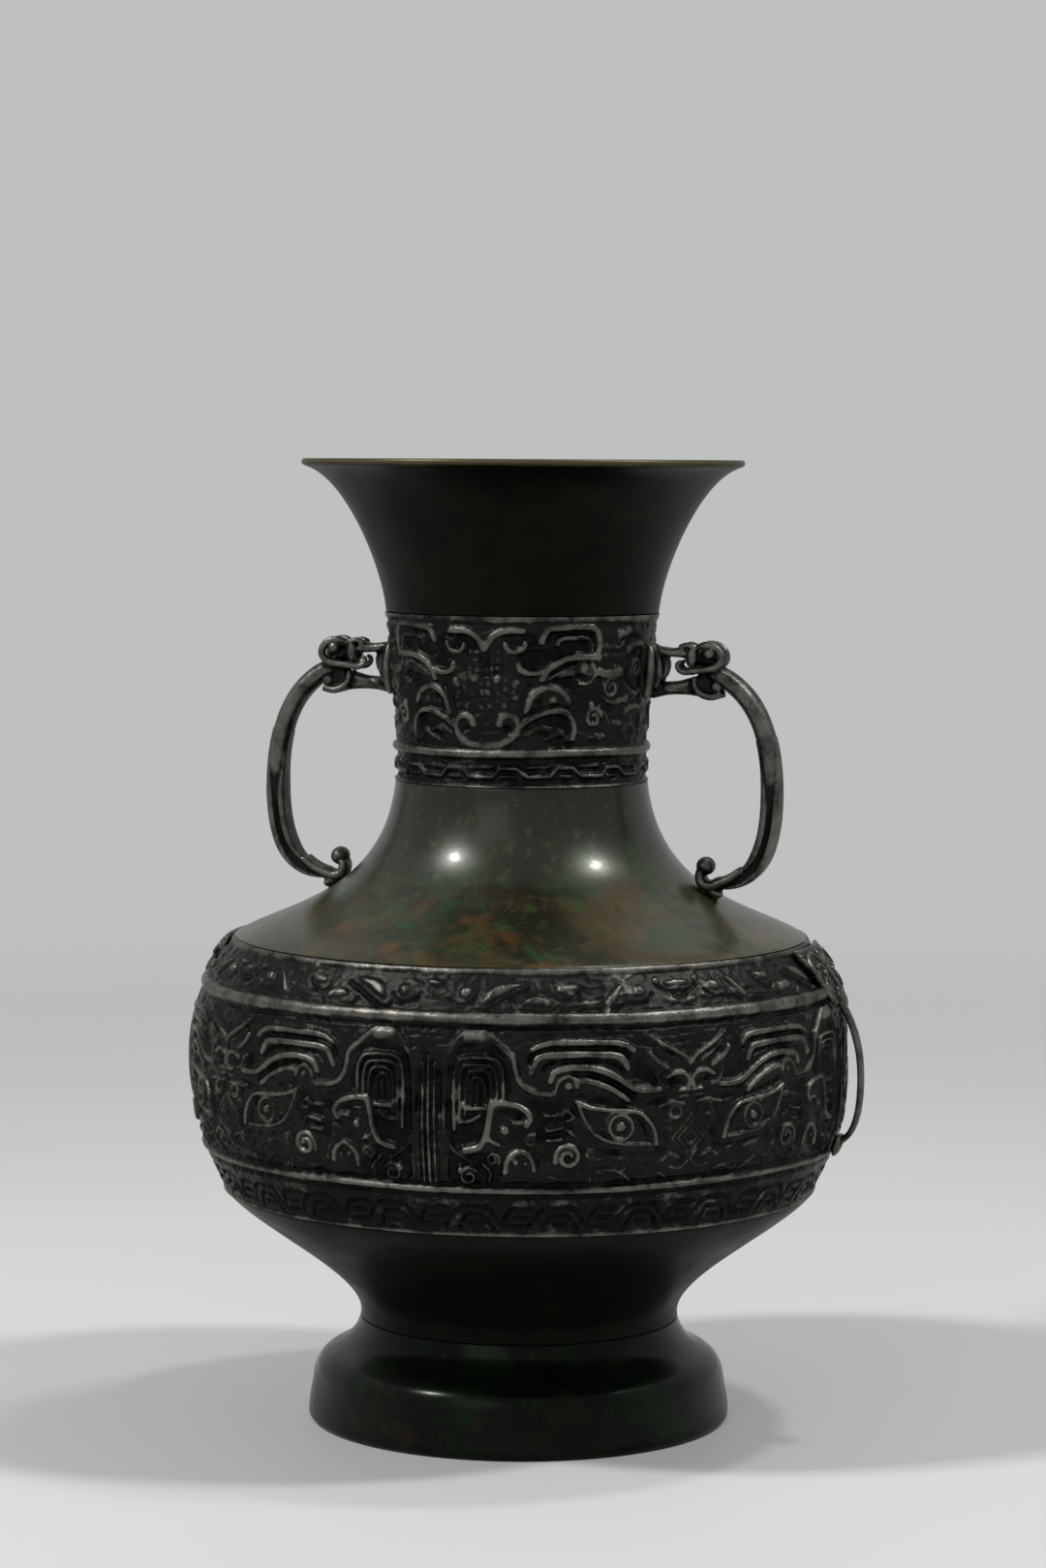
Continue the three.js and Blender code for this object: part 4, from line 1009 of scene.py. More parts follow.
@dataclass
class ReliefBand:
    """A band of the wall whose ornament is cast into it, made in panels that meet on its mirrors.

    A landing is plain ground under a handle, from one level to another and so wide.
    """

    name: str
    node: str
    low: float
    high: float
    radius: float
    panels: int
    spacing: float
    frets: int
    landings: tuple[Point, ...]
    depth: float = 1.75
    ground: float = 0.35
    wear: float = 0.22
    turn: float = math.radians(-1.4)
    seed: int = 5
    sway: float = 0.35
    rise: float = 0.22
    swell: float = 0.07
    scratch_depth: float = 0.3
    grain_depth: float = 0.11
    lump_depth: float = 0.13
    slow_marks: Point = (34, 22)
    scratch_marks: Point = (5.0, 2.2)
    grain_marks: Point = (1.5, 1.4)
    lump_marks: Point = (6.5, 5.0)

    def outline(self) -> Path:
        """The outer line at the level of the relief's high lines."""
        raise NotImplementedError

    def inner(self) -> Path:
        """The inner line with its sockets, from the top down."""
        raise NotImplementedError

    def borders(self) -> list[Point]:
        """The ribs all round: the level, the width and what each stands over the relief's depth."""
        raise NotImplementedError

    def cuts(self) -> list[Point]:
        """The lines cut in all round: the level, the width and the depth of each."""
        return []

    def ornament(self, angle: np.ndarray, z: np.ndarray) -> np.ndarray:
        """The height of whichever ornament a place lies in, as a share of the depth."""
        raise NotImplementedError

    def laid(self, strokes: Iterable[Stroke], length: float, low: float, high: float, ground: float,
             shifts: Iterable[float]) -> ReliefField:
        """A worn field with the strokes laid on it.

        Args:
            strokes: the strokes.
            length: length of the field along the wall.
            low: its lowest height.
            high: its highest height.
            ground: how high its ground stands, as a share.
            shifts: how far along the wall the strokes are moved, for each time that they are laid.

        Returns:
            The field.
        """
        field = ReliefField(length, low, high, ground)
        for shift in shifts:
            field.lay(strokes, shift)
        field.wear(self.wear)
        return field

    def laid_fret(self, strokes: Iterable[Stroke], radius: float, low: float, high: float,
                  ground: float) -> ReliefField:
        """One repeat of the key-fret, with what reaches into it from the repeats beside it."""
        length = math.tau * radius / self.frets
        return self.laid(strokes, length, low, high, ground, [turn * length for turn in (-2, -1, 0, 1)])

    def fret_at(self, angle: np.ndarray, radius: float, z: np.ndarray) -> np.ndarray:
        """The key-fret's height at places given by angle and height."""
        return self.fret.at(((angle + self.turn) * radius) % (math.tau * radius / self.frets), z)

    def folded(self, angle: np.ndarray, radius: float, repeats: int) -> np.ndarray:
        """Distance along the wall from the nearest mirror, for ornament that is mirrored."""
        length = math.tau * radius / repeats
        along = (angle * radius) % length
        return np.minimum(along, length - along)

    def height_at(self, angle: np.ndarray, z: np.ndarray) -> np.ndarray:
        """The relief's height over its ground, without the casting's unevenness."""
        height = self.depth * self.ornament(angle, z)
        cut = sum((half_round(z, *row) for row in self.cuts()), np.zeros_like(z))
        ribs = [half_round(z, level, width, self.depth + over) for level, width, over in self.borders()]
        height = np.maximum.reduce([height - np.minimum(cut, height), *ribs])
        off = np.abs((angle + self.turn) % math.pi - math.pi / 2) * self.radius
        for low, high, width in self.landings:
            beside = np.clip(width / 2 + 1 - off, 0, 1)
            near = beside * np.clip(z - low + 1, 0, 1) * np.clip(high + 1 - z, 0, 1)
            height = height + (self.depth - height) * near
        return height

    def prepare(self) -> None:
        """Sets up the noise that all the panels share."""
        self.noise = CastNoise(math.tau * self.radius, self.low, self.high, self.seed)
        self.slow = [self.noise.layer(*self.slow_marks) for _ in range(3)]
        self.scratches = self.noise.layer(*self.scratch_marks)
        self.grain = self.noise.layer(*self.grain_marks)
        self.lumps = self.noise.layer(*self.lump_marks)

    def relief(self, angle: np.ndarray, z: np.ndarray) -> np.ndarray:
        """The relief's height over its ground, as it left the mould."""
        sway = self.noise.at(self.slow[0], angle, z) * self.sway / self.radius
        rise = self.noise.at(self.slow[1], angle, z) * self.rise
        near_edge = np.minimum(z - self.low, self.high - z)
        calm = np.clip(near_edge / 4, 0, 1)
        clean = self.height_at(angle + sway * calm, z + rise * calm)
        worn = clean * (1 + self.swell * self.noise.at(self.slow[2], angle, z))
        flat = np.clip(1.15 - clean / self.depth, 0.2, 1)
        scratched = np.clip(1 - 1.6 * np.abs(self.noise.at(self.scratches, angle, z)), -0.4, 1)
        rough = (self.scratch_depth * scratched + self.grain_depth * self.noise.at(self.grain, angle, z)
                 + self.lump_depth * self.noise.at(self.lumps, angle, z)) * flat
        return worn + rough * np.clip(near_edge / 1.5, 0, 1)

    def panel(self, number: int, material: bpy.types.Material) -> bpy.types.Object:
        """Spins one panel and presses the relief into it.

        Args:
            number: which panel, from 0 at the front mirror towards +X.
            material: its material.

        Returns:
            The dressed piece.
        """
        arc = math.tau / self.panels
        start = self.turn + number * arc
        steps = round(self.radius * arc / self.spacing)
        bm = spun(evenly(self.outline(), self.spacing) + self.inner(), steps, arc, start)
        piece = object_of(bm, f"{self.name}_{number + 1}", 55)
        points = places(piece.data) / MM
        radius = np.hypot(points[:, 0], points[:, 1])
        angle = np.arctan2(points[:, 0], -points[:, 1])
        z = points[:, 2]
        wall = np.array(self.outline())
        outer = radius > np.interp(z, wall[:, 1], wall[:, 0]) - 0.1
        slope = np.interp(z, wall[:, 1], np.gradient(wall[:, 0], wall[:, 1]))
        lean = np.arctan(-slope)
        height = self.relief(angle - self.turn, z)
        sink = np.where(outer, np.maximum(self.depth - height, -0.6), 0)
        moved = radius - sink * np.cos(lean)
        points = np.stack([moved * np.sin(angle), -moved * np.cos(angle), z - sink * np.sin(lean)], 1)
        move_to(piece.data, points * MM)
        # Inner faces take 0.3, which the relief finish darkens slightly: a little painted shade inside
        keep_relief(piece.data, np.where(outer, np.clip(height / self.depth, 0, 1), 0.3))
        put_on(piece, material, Slot.RELIEF, self.node)
        return piece

    def build(self, material: bpy.types.Material) -> list[bpy.types.Object]:
        """Builds all the panels."""
        self.prepare()
        return [self.panel(number, material) for number in range(self.panels)]


@dataclass
class BellyBand(ReliefBand):
    """The belly: scrolls, a rib, four masks, a rib and a key-fret."""

    name: str = "belly_panel"
    node: str = "belly_band"
    low: float = FORM.bowl_top + FORM.seam_gap
    high: float = FORM.belly_top
    radius: float = 112.0
    panels: int = 4
    spacing: float = 0.43
    upper_rib: float = 152.2
    lower_rib: float = 96.7
    landings: tuple[Point, ...] = ((146.0, 149.2, 22.0), (95.4, 103.4, 11.0))
    socket: float = 93.6
    low_socket: float = 97.0
    scroll_radius: float = 105.0
    fret_radius: float = 106.0
    frets: int = 24

    def outline(self) -> Path:
        """The outer line at the level of the relief's high lines."""
        return FORM.belly()

    def inner(self) -> Path:
        """The inner line, with a socket at each end."""
        top, bottom = self.high - FORM.tongue_root, self.low + FORM.tongue_root
        wall = shifted(evenly(FORM.belly(), 4), FORM.relief_wall)
        return ([(self.socket, self.high), (self.socket, top)] + above(below(wall, top), bottom)[::-1]
                + [(self.low_socket, bottom), (self.low_socket, self.low)])

    def borders(self) -> list[Point]:
        """The two ribs and the band's rounded edges."""
        return [(self.upper_rib, 4.4, 0.55), (self.lower_rib, 2.42, 0.2), (self.low, 2.4, 0.0),
                (self.high, 4.2, 0.0)]

    def cuts(self) -> list[Point]:
        """A line under the upper rib and one on each side of the lower one."""
        return [(self.upper_rib - 3.0, 1.3, 0.8), (self.lower_rib - 2.1, 1.4, 0.8),
                (self.lower_rib + 2.0, 1.4, 0.6)]

    def prepare(self) -> None:
        """Lays the ornament out once for all the panels."""
        super().prepare()
        eighth = math.tau / 8
        self.mask = self.laid(bolder(belly_mask(), 0.1), eighth * self.radius, 96, 152, self.ground, [2.5])
        self.scroll = self.laid(belly_scroll(), eighth * self.scroll_radius, 152, 167, 0.58, [3.5])
        self.fret = self.laid_fret(belly_fret(), self.fret_radius, 80, 97, 0.62)

    def ornament(self, angle: np.ndarray, z: np.ndarray) -> np.ndarray:
        """The height of whichever ornament a place lies in, as a share of the depth."""
        mask = self.mask.at(self.folded(angle, self.radius, 4), z)
        scroll = self.scroll.at(self.folded(angle, self.scroll_radius, 4), z)
        fret = self.fret_at(angle, self.fret_radius, z)
        return np.where(z > self.upper_rib, scroll, np.where(z > self.lower_rib, mask, fret))


@dataclass
class NeckBand(ReliefBand):
    """The neck: two masks, a bead and a small key-fret."""

    name: str = "neck_panel"
    node: str = "neck_band"
    low: float = FORM.shoulder_top + FORM.seam_gap
    high: float = FORM.neck_top
    radius: float = 45.0
    panels: int = 2
    spacing: float = 0.36
    depth: float = 1.5
    seed: int = 9
    turn: float = math.radians(-1.9)
    bead: float = 232.1
    landings: tuple[Point, ...] = ((248.6, 268.0, 15.0),)
    socket: float = 44.2
    socket_depth: float = 5.3
    tongue_outer: float = 40.4
    tongue_inner: float = 38.6
    frets: int = 14

    def outline(self) -> Path:
        """The outer line at the level of the relief's high lines."""
        return FORM.neck()

    def inner(self) -> Path:
        """The inner line, with a socket at the top and a tongue at the foot."""
        top, bottom = self.high - self.socket_depth, self.low + FORM.tongue_root
        tip = FORM.shoulder_top - FORM.tongue
        wall = shifted(evenly(FORM.neck(), 5), FORM.relief_wall)
        return ([(self.socket, self.high), (self.socket, top)] + above(below(wall, top), bottom)[::-1]
                + [(self.tongue_inner, bottom), (self.tongue_inner, tip), (self.tongue_outer, tip),
                   (self.tongue_outer, self.low)])

    def borders(self) -> list[Point]:
        """The bead, the band's rounded edges and a faint line under the key-fret."""
        return [(self.bead, 3.6, 0.5), (self.low, 2.0, 0.0), (self.high, 5.2, 0.0),
                (self.low + 1.6, 0.9, 0.35 - self.depth)]

    def prepare(self) -> None:
        """Lays the ornament out once for both panels."""
        super().prepare()
        quarter = math.tau / 4
        self.mask = self.laid(bolder(neck_mask(), 0.3), quarter * self.radius, 230, 279, self.ground, [1.5])
        self.fret = self.laid_fret(neck_fret(), self.radius, 219, 231, 0.1)

    def ornament(self, angle: np.ndarray, z: np.ndarray) -> np.ndarray:
        """The height of whichever ornament a place lies in, as a share of the depth."""
        mask = self.mask.at(self.folded(angle, self.radius, 2), z)
        fret = self.fret_at(angle, self.radius, z)
        return np.where(z > self.bead, mask, fret)


# Handles

class Casting:
    """Rods and lumps, in millimetres, that are fused into one cast body."""

    smoothed_rounds = 26
    level_relief = 0.7
    relief_gain = 1.6
    skin_sizes = ((1.6, 1.0), (0.8, 0.5))

    def __init__(self) -> None:
        """Starts with nothing in the mould."""
        self.bm = bmesh.new()

    def rod(self, rows: Sequence[Point], squareness: float = 1.0, across: Vector = Vector((0, 1, 0)),
            sides: int = 20, per_span: int = 5) -> None:
        """Adds a bent rod with closed ends.

        Args:
            rows: x, y, z, half the thickness and half the width, at each point of its middle line.
            squareness: 1 for an oval section, and less for a squarer one.
            across: the way its width lies.
            sides: corners of its section.
            per_span: pieces between one row and the next.
        """
        line = smooth_through(rows, per_span)
        centres = [Vector(row[:3]) for row in line]
        last = len(centres) - 1
        bar = bmesh.new()
        loops = []
        for i, row in enumerate(line):
            along = (centres[min(i + 1, last)] - centres[max(i - 1, 0)]).normalized()
            wide = (across - along * across.dot(along)).normalized()
            thick = along.cross(wide)
            corners = bmesh.ops.create_circle(bar, cap_ends=False, segments=sides, radius=1)["verts"]
            for corner in corners:
                x = math.copysign(abs(corner.co.x) ** squareness, corner.co.x) * row[4]
                y = math.copysign(abs(corner.co.y) ** squareness, corner.co.y) * row[3]
                corner.co = centres[i] + wide * x + thick * y
            loops.append([bar.edges.get(pair) for pair in zip(corners, corners[1:] + corners[:1])])
        for one, other in zip(loops, loops[1:]):
            bmesh.ops.bridge_loops(bar, edges=one + other)
        for end in (loops[0], loops[-1]):
            bmesh.ops.contextual_create(bar, geom=end)
        bmesh.ops.recalc_face_normals(bar, faces=bar.faces)
        made = bpy.data.meshes.new("rod")
        bar.to_mesh(made)
        bar.free()
        self.bm.from_mesh(made)
        bpy.data.meshes.remove(made)

    def lump(self, centre: Point, radii: Point, tilt: float = 0.0) -> None:
        """Adds a rounded lump, tilted in the plane of X and Z by an angle in degrees."""
        place = (Matrix.Translation(centre) @ Matrix.Rotation(math.radians(tilt), 4, "Y")
                 @ Matrix.Diagonal((*radii, 1)))
        bmesh.ops.create_icosphere(self.bm, subdivisions=3, radius=1, matrix=place)

    def fuse(self, name: str, voxel: float, smoothing: int, grain: float) -> bpy.types.Object:
        """Fuses everything in the mould.

        Args:
            name: name of the new object.
            voxel: fineness in millimetres.
            smoothing: rounds of smoothing.
            grain: depth of the cast skin's unevenness in millimetres.

        Returns:
            The object, in metres, with how far its surface stands out stored as its relief.
        """
        bmesh.ops.recalc_face_normals(self.bm, faces=self.bm.faces)
        rough = bpy.data.meshes.new(name + "_mould")
        self.bm.to_mesh(rough)
        self.bm.free()
        mould = placed(name + "_mould", rough)
        remesh = mould.modifiers.new("fuse", "REMESH")
        remesh.mode = "VOXEL"
        remesh.voxel_size = voxel
        smooth = mould.modifiers.new("smooth", "SMOOTH")
        smooth.factor = 0.5
        smooth.iterations = smoothing
        graph = bpy.context.evaluated_depsgraph_get()
        mesh = bpy.data.meshes.new_from_object(mould.evaluated_get(graph))
        bpy.data.objects.remove(mould)
        bpy.data.meshes.remove(rough)
        mesh.name = name
        out = standing_out(mesh, self.smoothed_rounds)
        # Creases get low values and bulges high ones, which the relief finish turns into painted shade in
        # the creases and a painted highlight on the bulges
        keep_relief(mesh, np.clip(self.level_relief + out * self.relief_gain, 0, 1))
        points = places(mesh)
        skin = np.array([sum(share * noise.noise(Vector(point) / size) for size, share in self.skin_sizes)
                         for point in points]) * grain
        move_to(mesh, (points + normals(mesh) * skin[:, None]) * MM)
        mesh.shade_smooth()
        return placed(name, mesh)


class Side(Enum):
    """Which side of the vase a handle is on, with its turn about the axis in degrees."""

    RIGHT = 0
    LEFT = 180


def on_side(way: int, *rows: Point) -> list[Point]:
    """Rows that start with x, y and z, for the front of a handle or mirrored to its back."""
    return [(x, way * y, *rest) for x, y, *rest in rows]


@dataclass
class Handle:
    """A handle that is cast in one mould, on the right, and turned to its own side of the vase."""

    kind: str
    voxel: float
    smoothing: int
    skin: float

    def fill(self, mould: Casting) -> None:
        """Puts the handle's rods and lumps into the mould."""
        raise NotImplementedError

    def build(self, side: Side, material: bpy.types.Material) -> bpy.types.Object:
        """Casts the handle and puts it on its side of the vase.

        Args:
            side: which side.
            material: its material.

        Returns:
            The dressed piece.
        """
        mould = Casting()
        self.fill(mould)
        node = f"{side.name.lower()}_{self.kind}"
        piece = mould.fuse(node + "_cast", self.voxel, self.smoothing, self.skin)
        piece.data.transform(Matrix.Rotation(math.radians(side.value), 4, "Z"))
        put_on(piece, material, Slot.RELIEF, node)
        return piece


@dataclass
class NeckHandle(Handle):
    """A beast's head that bites the neck, a bowed double strap, and a curl on the shoulder."""

    kind: str = "neck_handle"
    voxel: float = 0.42
    smoothing: int = 4
    skin: float = 0.035
    top: Point = (69.5, 261.0)
    bow: Point = (90.8, 217.0)
    foot: Point = (69.5, 183.4)
    thickness: float = 7.0
    half_width: float = 5.0
    strip: float = 1.65
    split_height: float = 220.0
    foot_taper: float = 0.62
    brow: float = 267.4
    strands: tuple[Point, ...] = (
        (1.3, 47.2, 50.1, 49.4, 256.0), (4.0, 46.4, 48.3, 47.4, 252.8), (6.7, 45.2, 46.2, 44.9, 249.6))
    tapered_steps: int = 8

    def fill(self, mould: Casting) -> None:
        """Puts the handle's rods and lumps into the mould."""
        self.strap(mould)
        self.curl(mould)
        self.head(mould)
        self.mane(mould)

    def strap(self, mould: Casting) -> None:
        """The strap: one rounded bar that parts into two strips with a groove between.

        The strips start inside the bar and grow out of it as it narrows, so that no step shows.
        """
        outer = (sweep(self.top, -25, 0.44, self.bow, -90, 0.27, 14)
                 + sweep(self.bow, -90, 0.38, self.foot, -180, 0.45, 16)[1:])
        core, outer_strip, inner_strip = [], [], []
        last = len(outer) - 1
        near_foot = [last - self.tapered_steps, last]
        middles = shifted(outer, -self.thickness / 2)
        for i, (x, z) in enumerate(middles):
            taper = float(np.interp(i, near_foot, [1, self.foot_taper]))
            parted = float(np.interp(z, [self.split_height - 12, self.split_height + 4], [1, 0]))
            reach = self.thickness / 2 * taper
            core.append((x, 0, z, reach * 0.97, self.half_width - 1.3 * parted))
            if z < self.split_height + 18:
                outward = np.array(outer[i]) - (x, z)
                outward /= np.linalg.norm(outward)
                shown = float(np.interp(z, [self.split_height - 4, self.split_height + 18], [1, 0]))
                for strip, way, end in ((outer_strip, 1, 0.35), (inner_strip, -1, 0.3)):
                    if way < 0 and i > last - 3:
                        continue
                    kept = float(np.interp(i, near_foot, [1, end]))
                    thin = self.strip * taper * kept * (0.15 + 0.85 * shown)
                    wide = self.half_width * (0.5 + 0.5 * shown * kept)
                    px, pz = np.array((x, z)) + outward * way * (reach - thin * 0.94)
                    strip.append((px, 0, pz, thin, wide))
        core.insert(0, (64.5, 0, 261.0, 3.2, 4.0))
        core.append((66.9, 0, 185.7, 1.7, 4.2))
        for rows, squareness in ((core, 0.86), (outer_strip, 0.7), (inner_strip, 0.7)):
            mould.rod(rows, squareness=squareness, per_span=2)

    def curl(self, mould: Casting) -> None:
        """The inner strip runs on into a hook that rests on the shoulder and ends in a knob."""
        mould.rod([
            (77.2, 0, 191.5, 1.4, 4.8), (73.8, 0, 188.8, 1.65, 5.0), (70.2, 0, 187.0, 1.85, 5.0),
            (66.9, 0, 185.8, 1.95, 4.9), (64.1, 0, 186.4, 1.95, 4.8), (62.95, 0, 188.8, 1.8, 4.6),
            (63.2, 0, 190.8, 1.7, 4.4)], squareness=0.7)
        mould.lump((64.7, 0, 192.5), (3.3, 4.7, 3.2), 12)
        mould.lump((67.3, 0, 184.0), (3.7, 4.5, 2.1), 30)

    def head(self, mould: Casting) -> None:
        """The head in profile: snout, lips that curl round a ball, and a deep jaw."""
        mould.rod([(43.0, 0, 265.2, 1.9, 4.2), (48.5, 0, 265.3, 1.7, 4.0), (53.0, 0, 264.9, 1.6, 3.9),
                   (57.5, 0, 265.2, 2.2, 4.0)], squareness=0.7)
        mould.lump((60.0, 0, 263.4), (3.0, 3.6, 4.2), 8)
        mould.rod([(45.4, 0, 251.6, 2.6, 3.4), (50.0, 0, 252.6, 2.4, 3.5), (55.0, 0, 253.0, 2.4, 3.5),
                   (60.0, 0, 253.5, 3.2, 3.6), (64.5, 0, 253.6, 4.1, 3.7), (68.2, 0, 253.8, 3.6, 3.7)],
                  squareness=0.7)
        mould.lump((65.6, 0, 257.8), (4.4, 4.0, 3.0), -20)
        mould.lump((65.6, 0, 263.0), (4.4, 3.5, 3.9))
        for way in (-1, 1):
            mould.rod(on_side(way, (61.6, 3.2, 266.6, 0.9, 1.0), (64.2, 4.2, 267.7, 1.2, 1.3),
                              (67.4, 4.5, 267.3, 1.3, 1.4), (69.9, 4.5, 265.0, 1.35, 1.4),
                              (70.1, 4.6, 262.2, 1.35, 1.4), (68.0, 4.7, 260.2, 1.35, 1.4),
                              (64.4, 4.6, 259.3, 1.3, 1.4), (60.6, 4.3, 258.9, 1.25, 1.4),
                              (57.4, 4.0, 258.5, 1.2, 1.3), (55.3, 3.8, 259.5, 1.0, 1.2),
                              (55.0, 3.6, 261.3, 0.8, 1.0), (56.4, 3.5, 262.0, 0.7, 0.9)), sides=12)
            mould.lump((65.9, way * 4.4, 264.9), (2.1, 1.9, 2.0))
            mould.lump((59.8, way * 3.3, 263.6), (2.0, 1.5, 3.3))
            mould.rod(on_side(way, (55.4, 3.3, 266.8, 0.8, 1.0), (58.2, 3.6, 267.6, 1.0, 1.2),
                              (60.8, 3.8, 266.8, 0.9, 1.1)), sides=10)
            mould.rod(on_side(way, (60.8, 3.3, 257.0, 0.8, 0.9), (60.9, 3.6, 254.0, 1.1, 1.2),
                              (63.0, 3.8, 251.3, 1.3, 1.3), (66.4, 3.8, 250.2, 1.3, 1.3),
                              (70.2, 3.4, 250.9, 1.2, 1.1)), sides=10)
            mould.lump((68.4, way * 3.5, 253.8), (1.9, 1.3, 1.9))
            mould.lump((51.2, way * 3.1, 252.8), (1.4, 1.1, 1.2))

    def mane(self, mould: Casting) -> None:
        """Thick strands that fan out from the brow over the neck, the middle ones short and bulging."""
        mould.rod([(45.4, 0, 267.2, 1.6, 5.0), (45.8, 0, 261.0, 2.0, 7.0), (45.0, 0, 254.0, 1.7, 7.4),
                   (43.9, 0, 249.8, 1.3, 6.6)], squareness=0.7)
        mould.lump((47.2, 0, 260.6), (2.6, 3.6, 5.6))
        for way in (-1, 1):
            for spread, root, bulge, tip, end in self.strands:
                middle = (self.brow + end) / 2
                mould.rod(on_side(way, (root - 1.0, 0.55 * spread, self.brow + 0.2, 0.8, 1.0),
                                  (root + 0.6, 0.75 * spread, self.brow - 2.0, 1.4, 1.5),
                                  (bulge, spread, middle, 1.7, 1.6),
                                  (tip + 0.4, 1.04 * spread, end + 2.0, 1.5, 1.4),
                                  (tip - 0.6, 1.06 * spread, end, 0.8, 0.9)), sides=12)


@dataclass
class BellyHandle(Handle):
    """A mask plate on the belly's upper slope, with a thin loop that springs from below it."""

    kind: str = "belly_handle"
    voxel: float = 0.36
    smoothing: int = 2
    skin: float = 0.05
    bow: Point = (119.7, 122.0)
    root_height: float = 149.5
    foot_height: float = 98.4
    half_width: float = 3.0
    half_thickness: float = 1.0
    top: float = 165.6
    bottom: float = 147.6
    top_width: float = 37.6
    bottom_width: float = 21.0
    plate: float = 1.4

    def fill(self, mould: Casting) -> None:
        """Puts the handle's rods and lumps into the mould."""
        self.mask(mould)
        self.loop(mould)

    def wall_radius(self, height: float) -> float:
        """The belly's outer radius at a height."""
        wall = np.array(FORM.belly())
        return float(np.interp(height, wall[:, 1], wall[:, 0]))

    def on_wall(self, across: float, height: float, lift: float) -> Point:
        """A place over the belly's wall.

        Args:
            across: distance along the wall from the handle's middle.
            height: level.
            lift: distance out from the wall, along its normal.

        Returns:
            Its x, y and z.
        """
        step = 0.5
        slope = (self.wall_radius(height + step) - self.wall_radius(height - step)) / (2 * step)
        lean = math.atan(-slope)
        radius = self.wall_radius(height) + lift * math.cos(lean)
        angle = across / self.wall_radius(height)
        return (radius * math.cos(angle), radius * math.sin(angle), height + lift * math.sin(lean))

    def mask(self, mould: Casting) -> None:
        """The plate, with brows, eyes, a nose and curled cheeks in low relief."""
        rows = 12
        for i in range(rows + 1):
            share = i / rows
            level = self.bottom + 0.7 + (self.top - self.bottom - 1.4) * share
            half = (self.bottom_width + (self.top_width - self.bottom_width) * share) / 2
            trim = 1.2 if i in (0, rows) else 0.2
            count = 8
            steps = [2 * j / count - 1 for j in range(count + 1)]
            mould.rod([(*self.on_wall(step * (half - trim), level, 0.75), self.plate * 0.62, 1.15)
                       for step in steps], across=Vector((0, 0, 1)), sides=10, per_span=2)
        for way in (-1, 1):
            self.line(mould, 0.8, 1.0, [(1.6 * way, 159.4), (5 * way, 162.6), (10.5 * way, 163.4),
                                        (15 * way, 161.6), (15.4 * way, 158.6), (12.4 * way, 157.6)])
            self.line(mould, 0.7, 0.9, [(3.2 * way, 157.8), (7 * way, 159.8), (11 * way, 159.4)])
            self.line(mould, 0.7, 0.8, [(9.4 * way, 151.6), (11.2 * way, 154), (9.4 * way, 155.8),
                                        (7.4 * way, 154.4)])
            mould.lump(self.on_wall(6.8 * way, 157.2, 1.6), (1.0, 1.5, 1.3))
            mould.lump(self.on_wall(2.3 * way, 151.6, 1.6), (0.9, 1.1, 0.9))
        self.line(mould, 0.9, 1.2, [(0, 163.6), (0, 159), (0, 154.4), (0, 150.6)])

    def line(self, mould: Casting, thick: float, wide: float, places_on: Sequence[Point]) -> None:
        """A raised line on the plate through places given across it and up it."""
        mould.rod([(*self.on_wall(across, height, 1.5), thick, wide) for across, height in places_on],
                  across=Vector((0, 0.7, 0.7)), sides=10)

    def loop(self, mould: Casting) -> None:
        """The thin bowed loop and a pad at each of its ends."""
        root = (self.wall_radius(self.root_height) + 1.0, self.root_height)
        foot = (self.wall_radius(self.foot_height) + 0.6, self.foot_height)
        outer = (sweep(root, -50, 0.3, self.bow, -90, 0.35, 12)
                 + sweep(self.bow, -90, 0.5, foot, -165, 0.3, 14)[1:])
        middle = shifted(outer, -self.half_thickness)
        mould.rod([(x, 0, z, self.half_thickness, self.half_width) for x, z in middle], squareness=0.6,
                  per_span=2, sides=20)
        for height, lift in ((self.root_height - 1.2, 1.4), (self.foot_height + 0.8, 1.1)):
            up = [self.on_wall(0, height + move, lift) for move in (-3.4, -1.4, 1.4, 3.4)]
            mould.rod([(*place, thick, wide) for place, thick, wide in
                       zip(up, (0.7, 1.4, 1.4, 0.7), (3.2, 4.8, 4.8, 3.4))], squareness=0.75)


# Finishes

def linear(hex_colour: str) -> tuple[float, float, float, float]:
    """An sRGB hex colour as the linear values that a socket takes."""
    parts = [int(hex_colour[i:i + 2], 16) / 255 for i in (1, 3, 5)]
    return (*[part / 12.92 if part <= 0.04045 else ((part + 0.055) / 1.055) ** 2.4 for part in parts], 1.0)


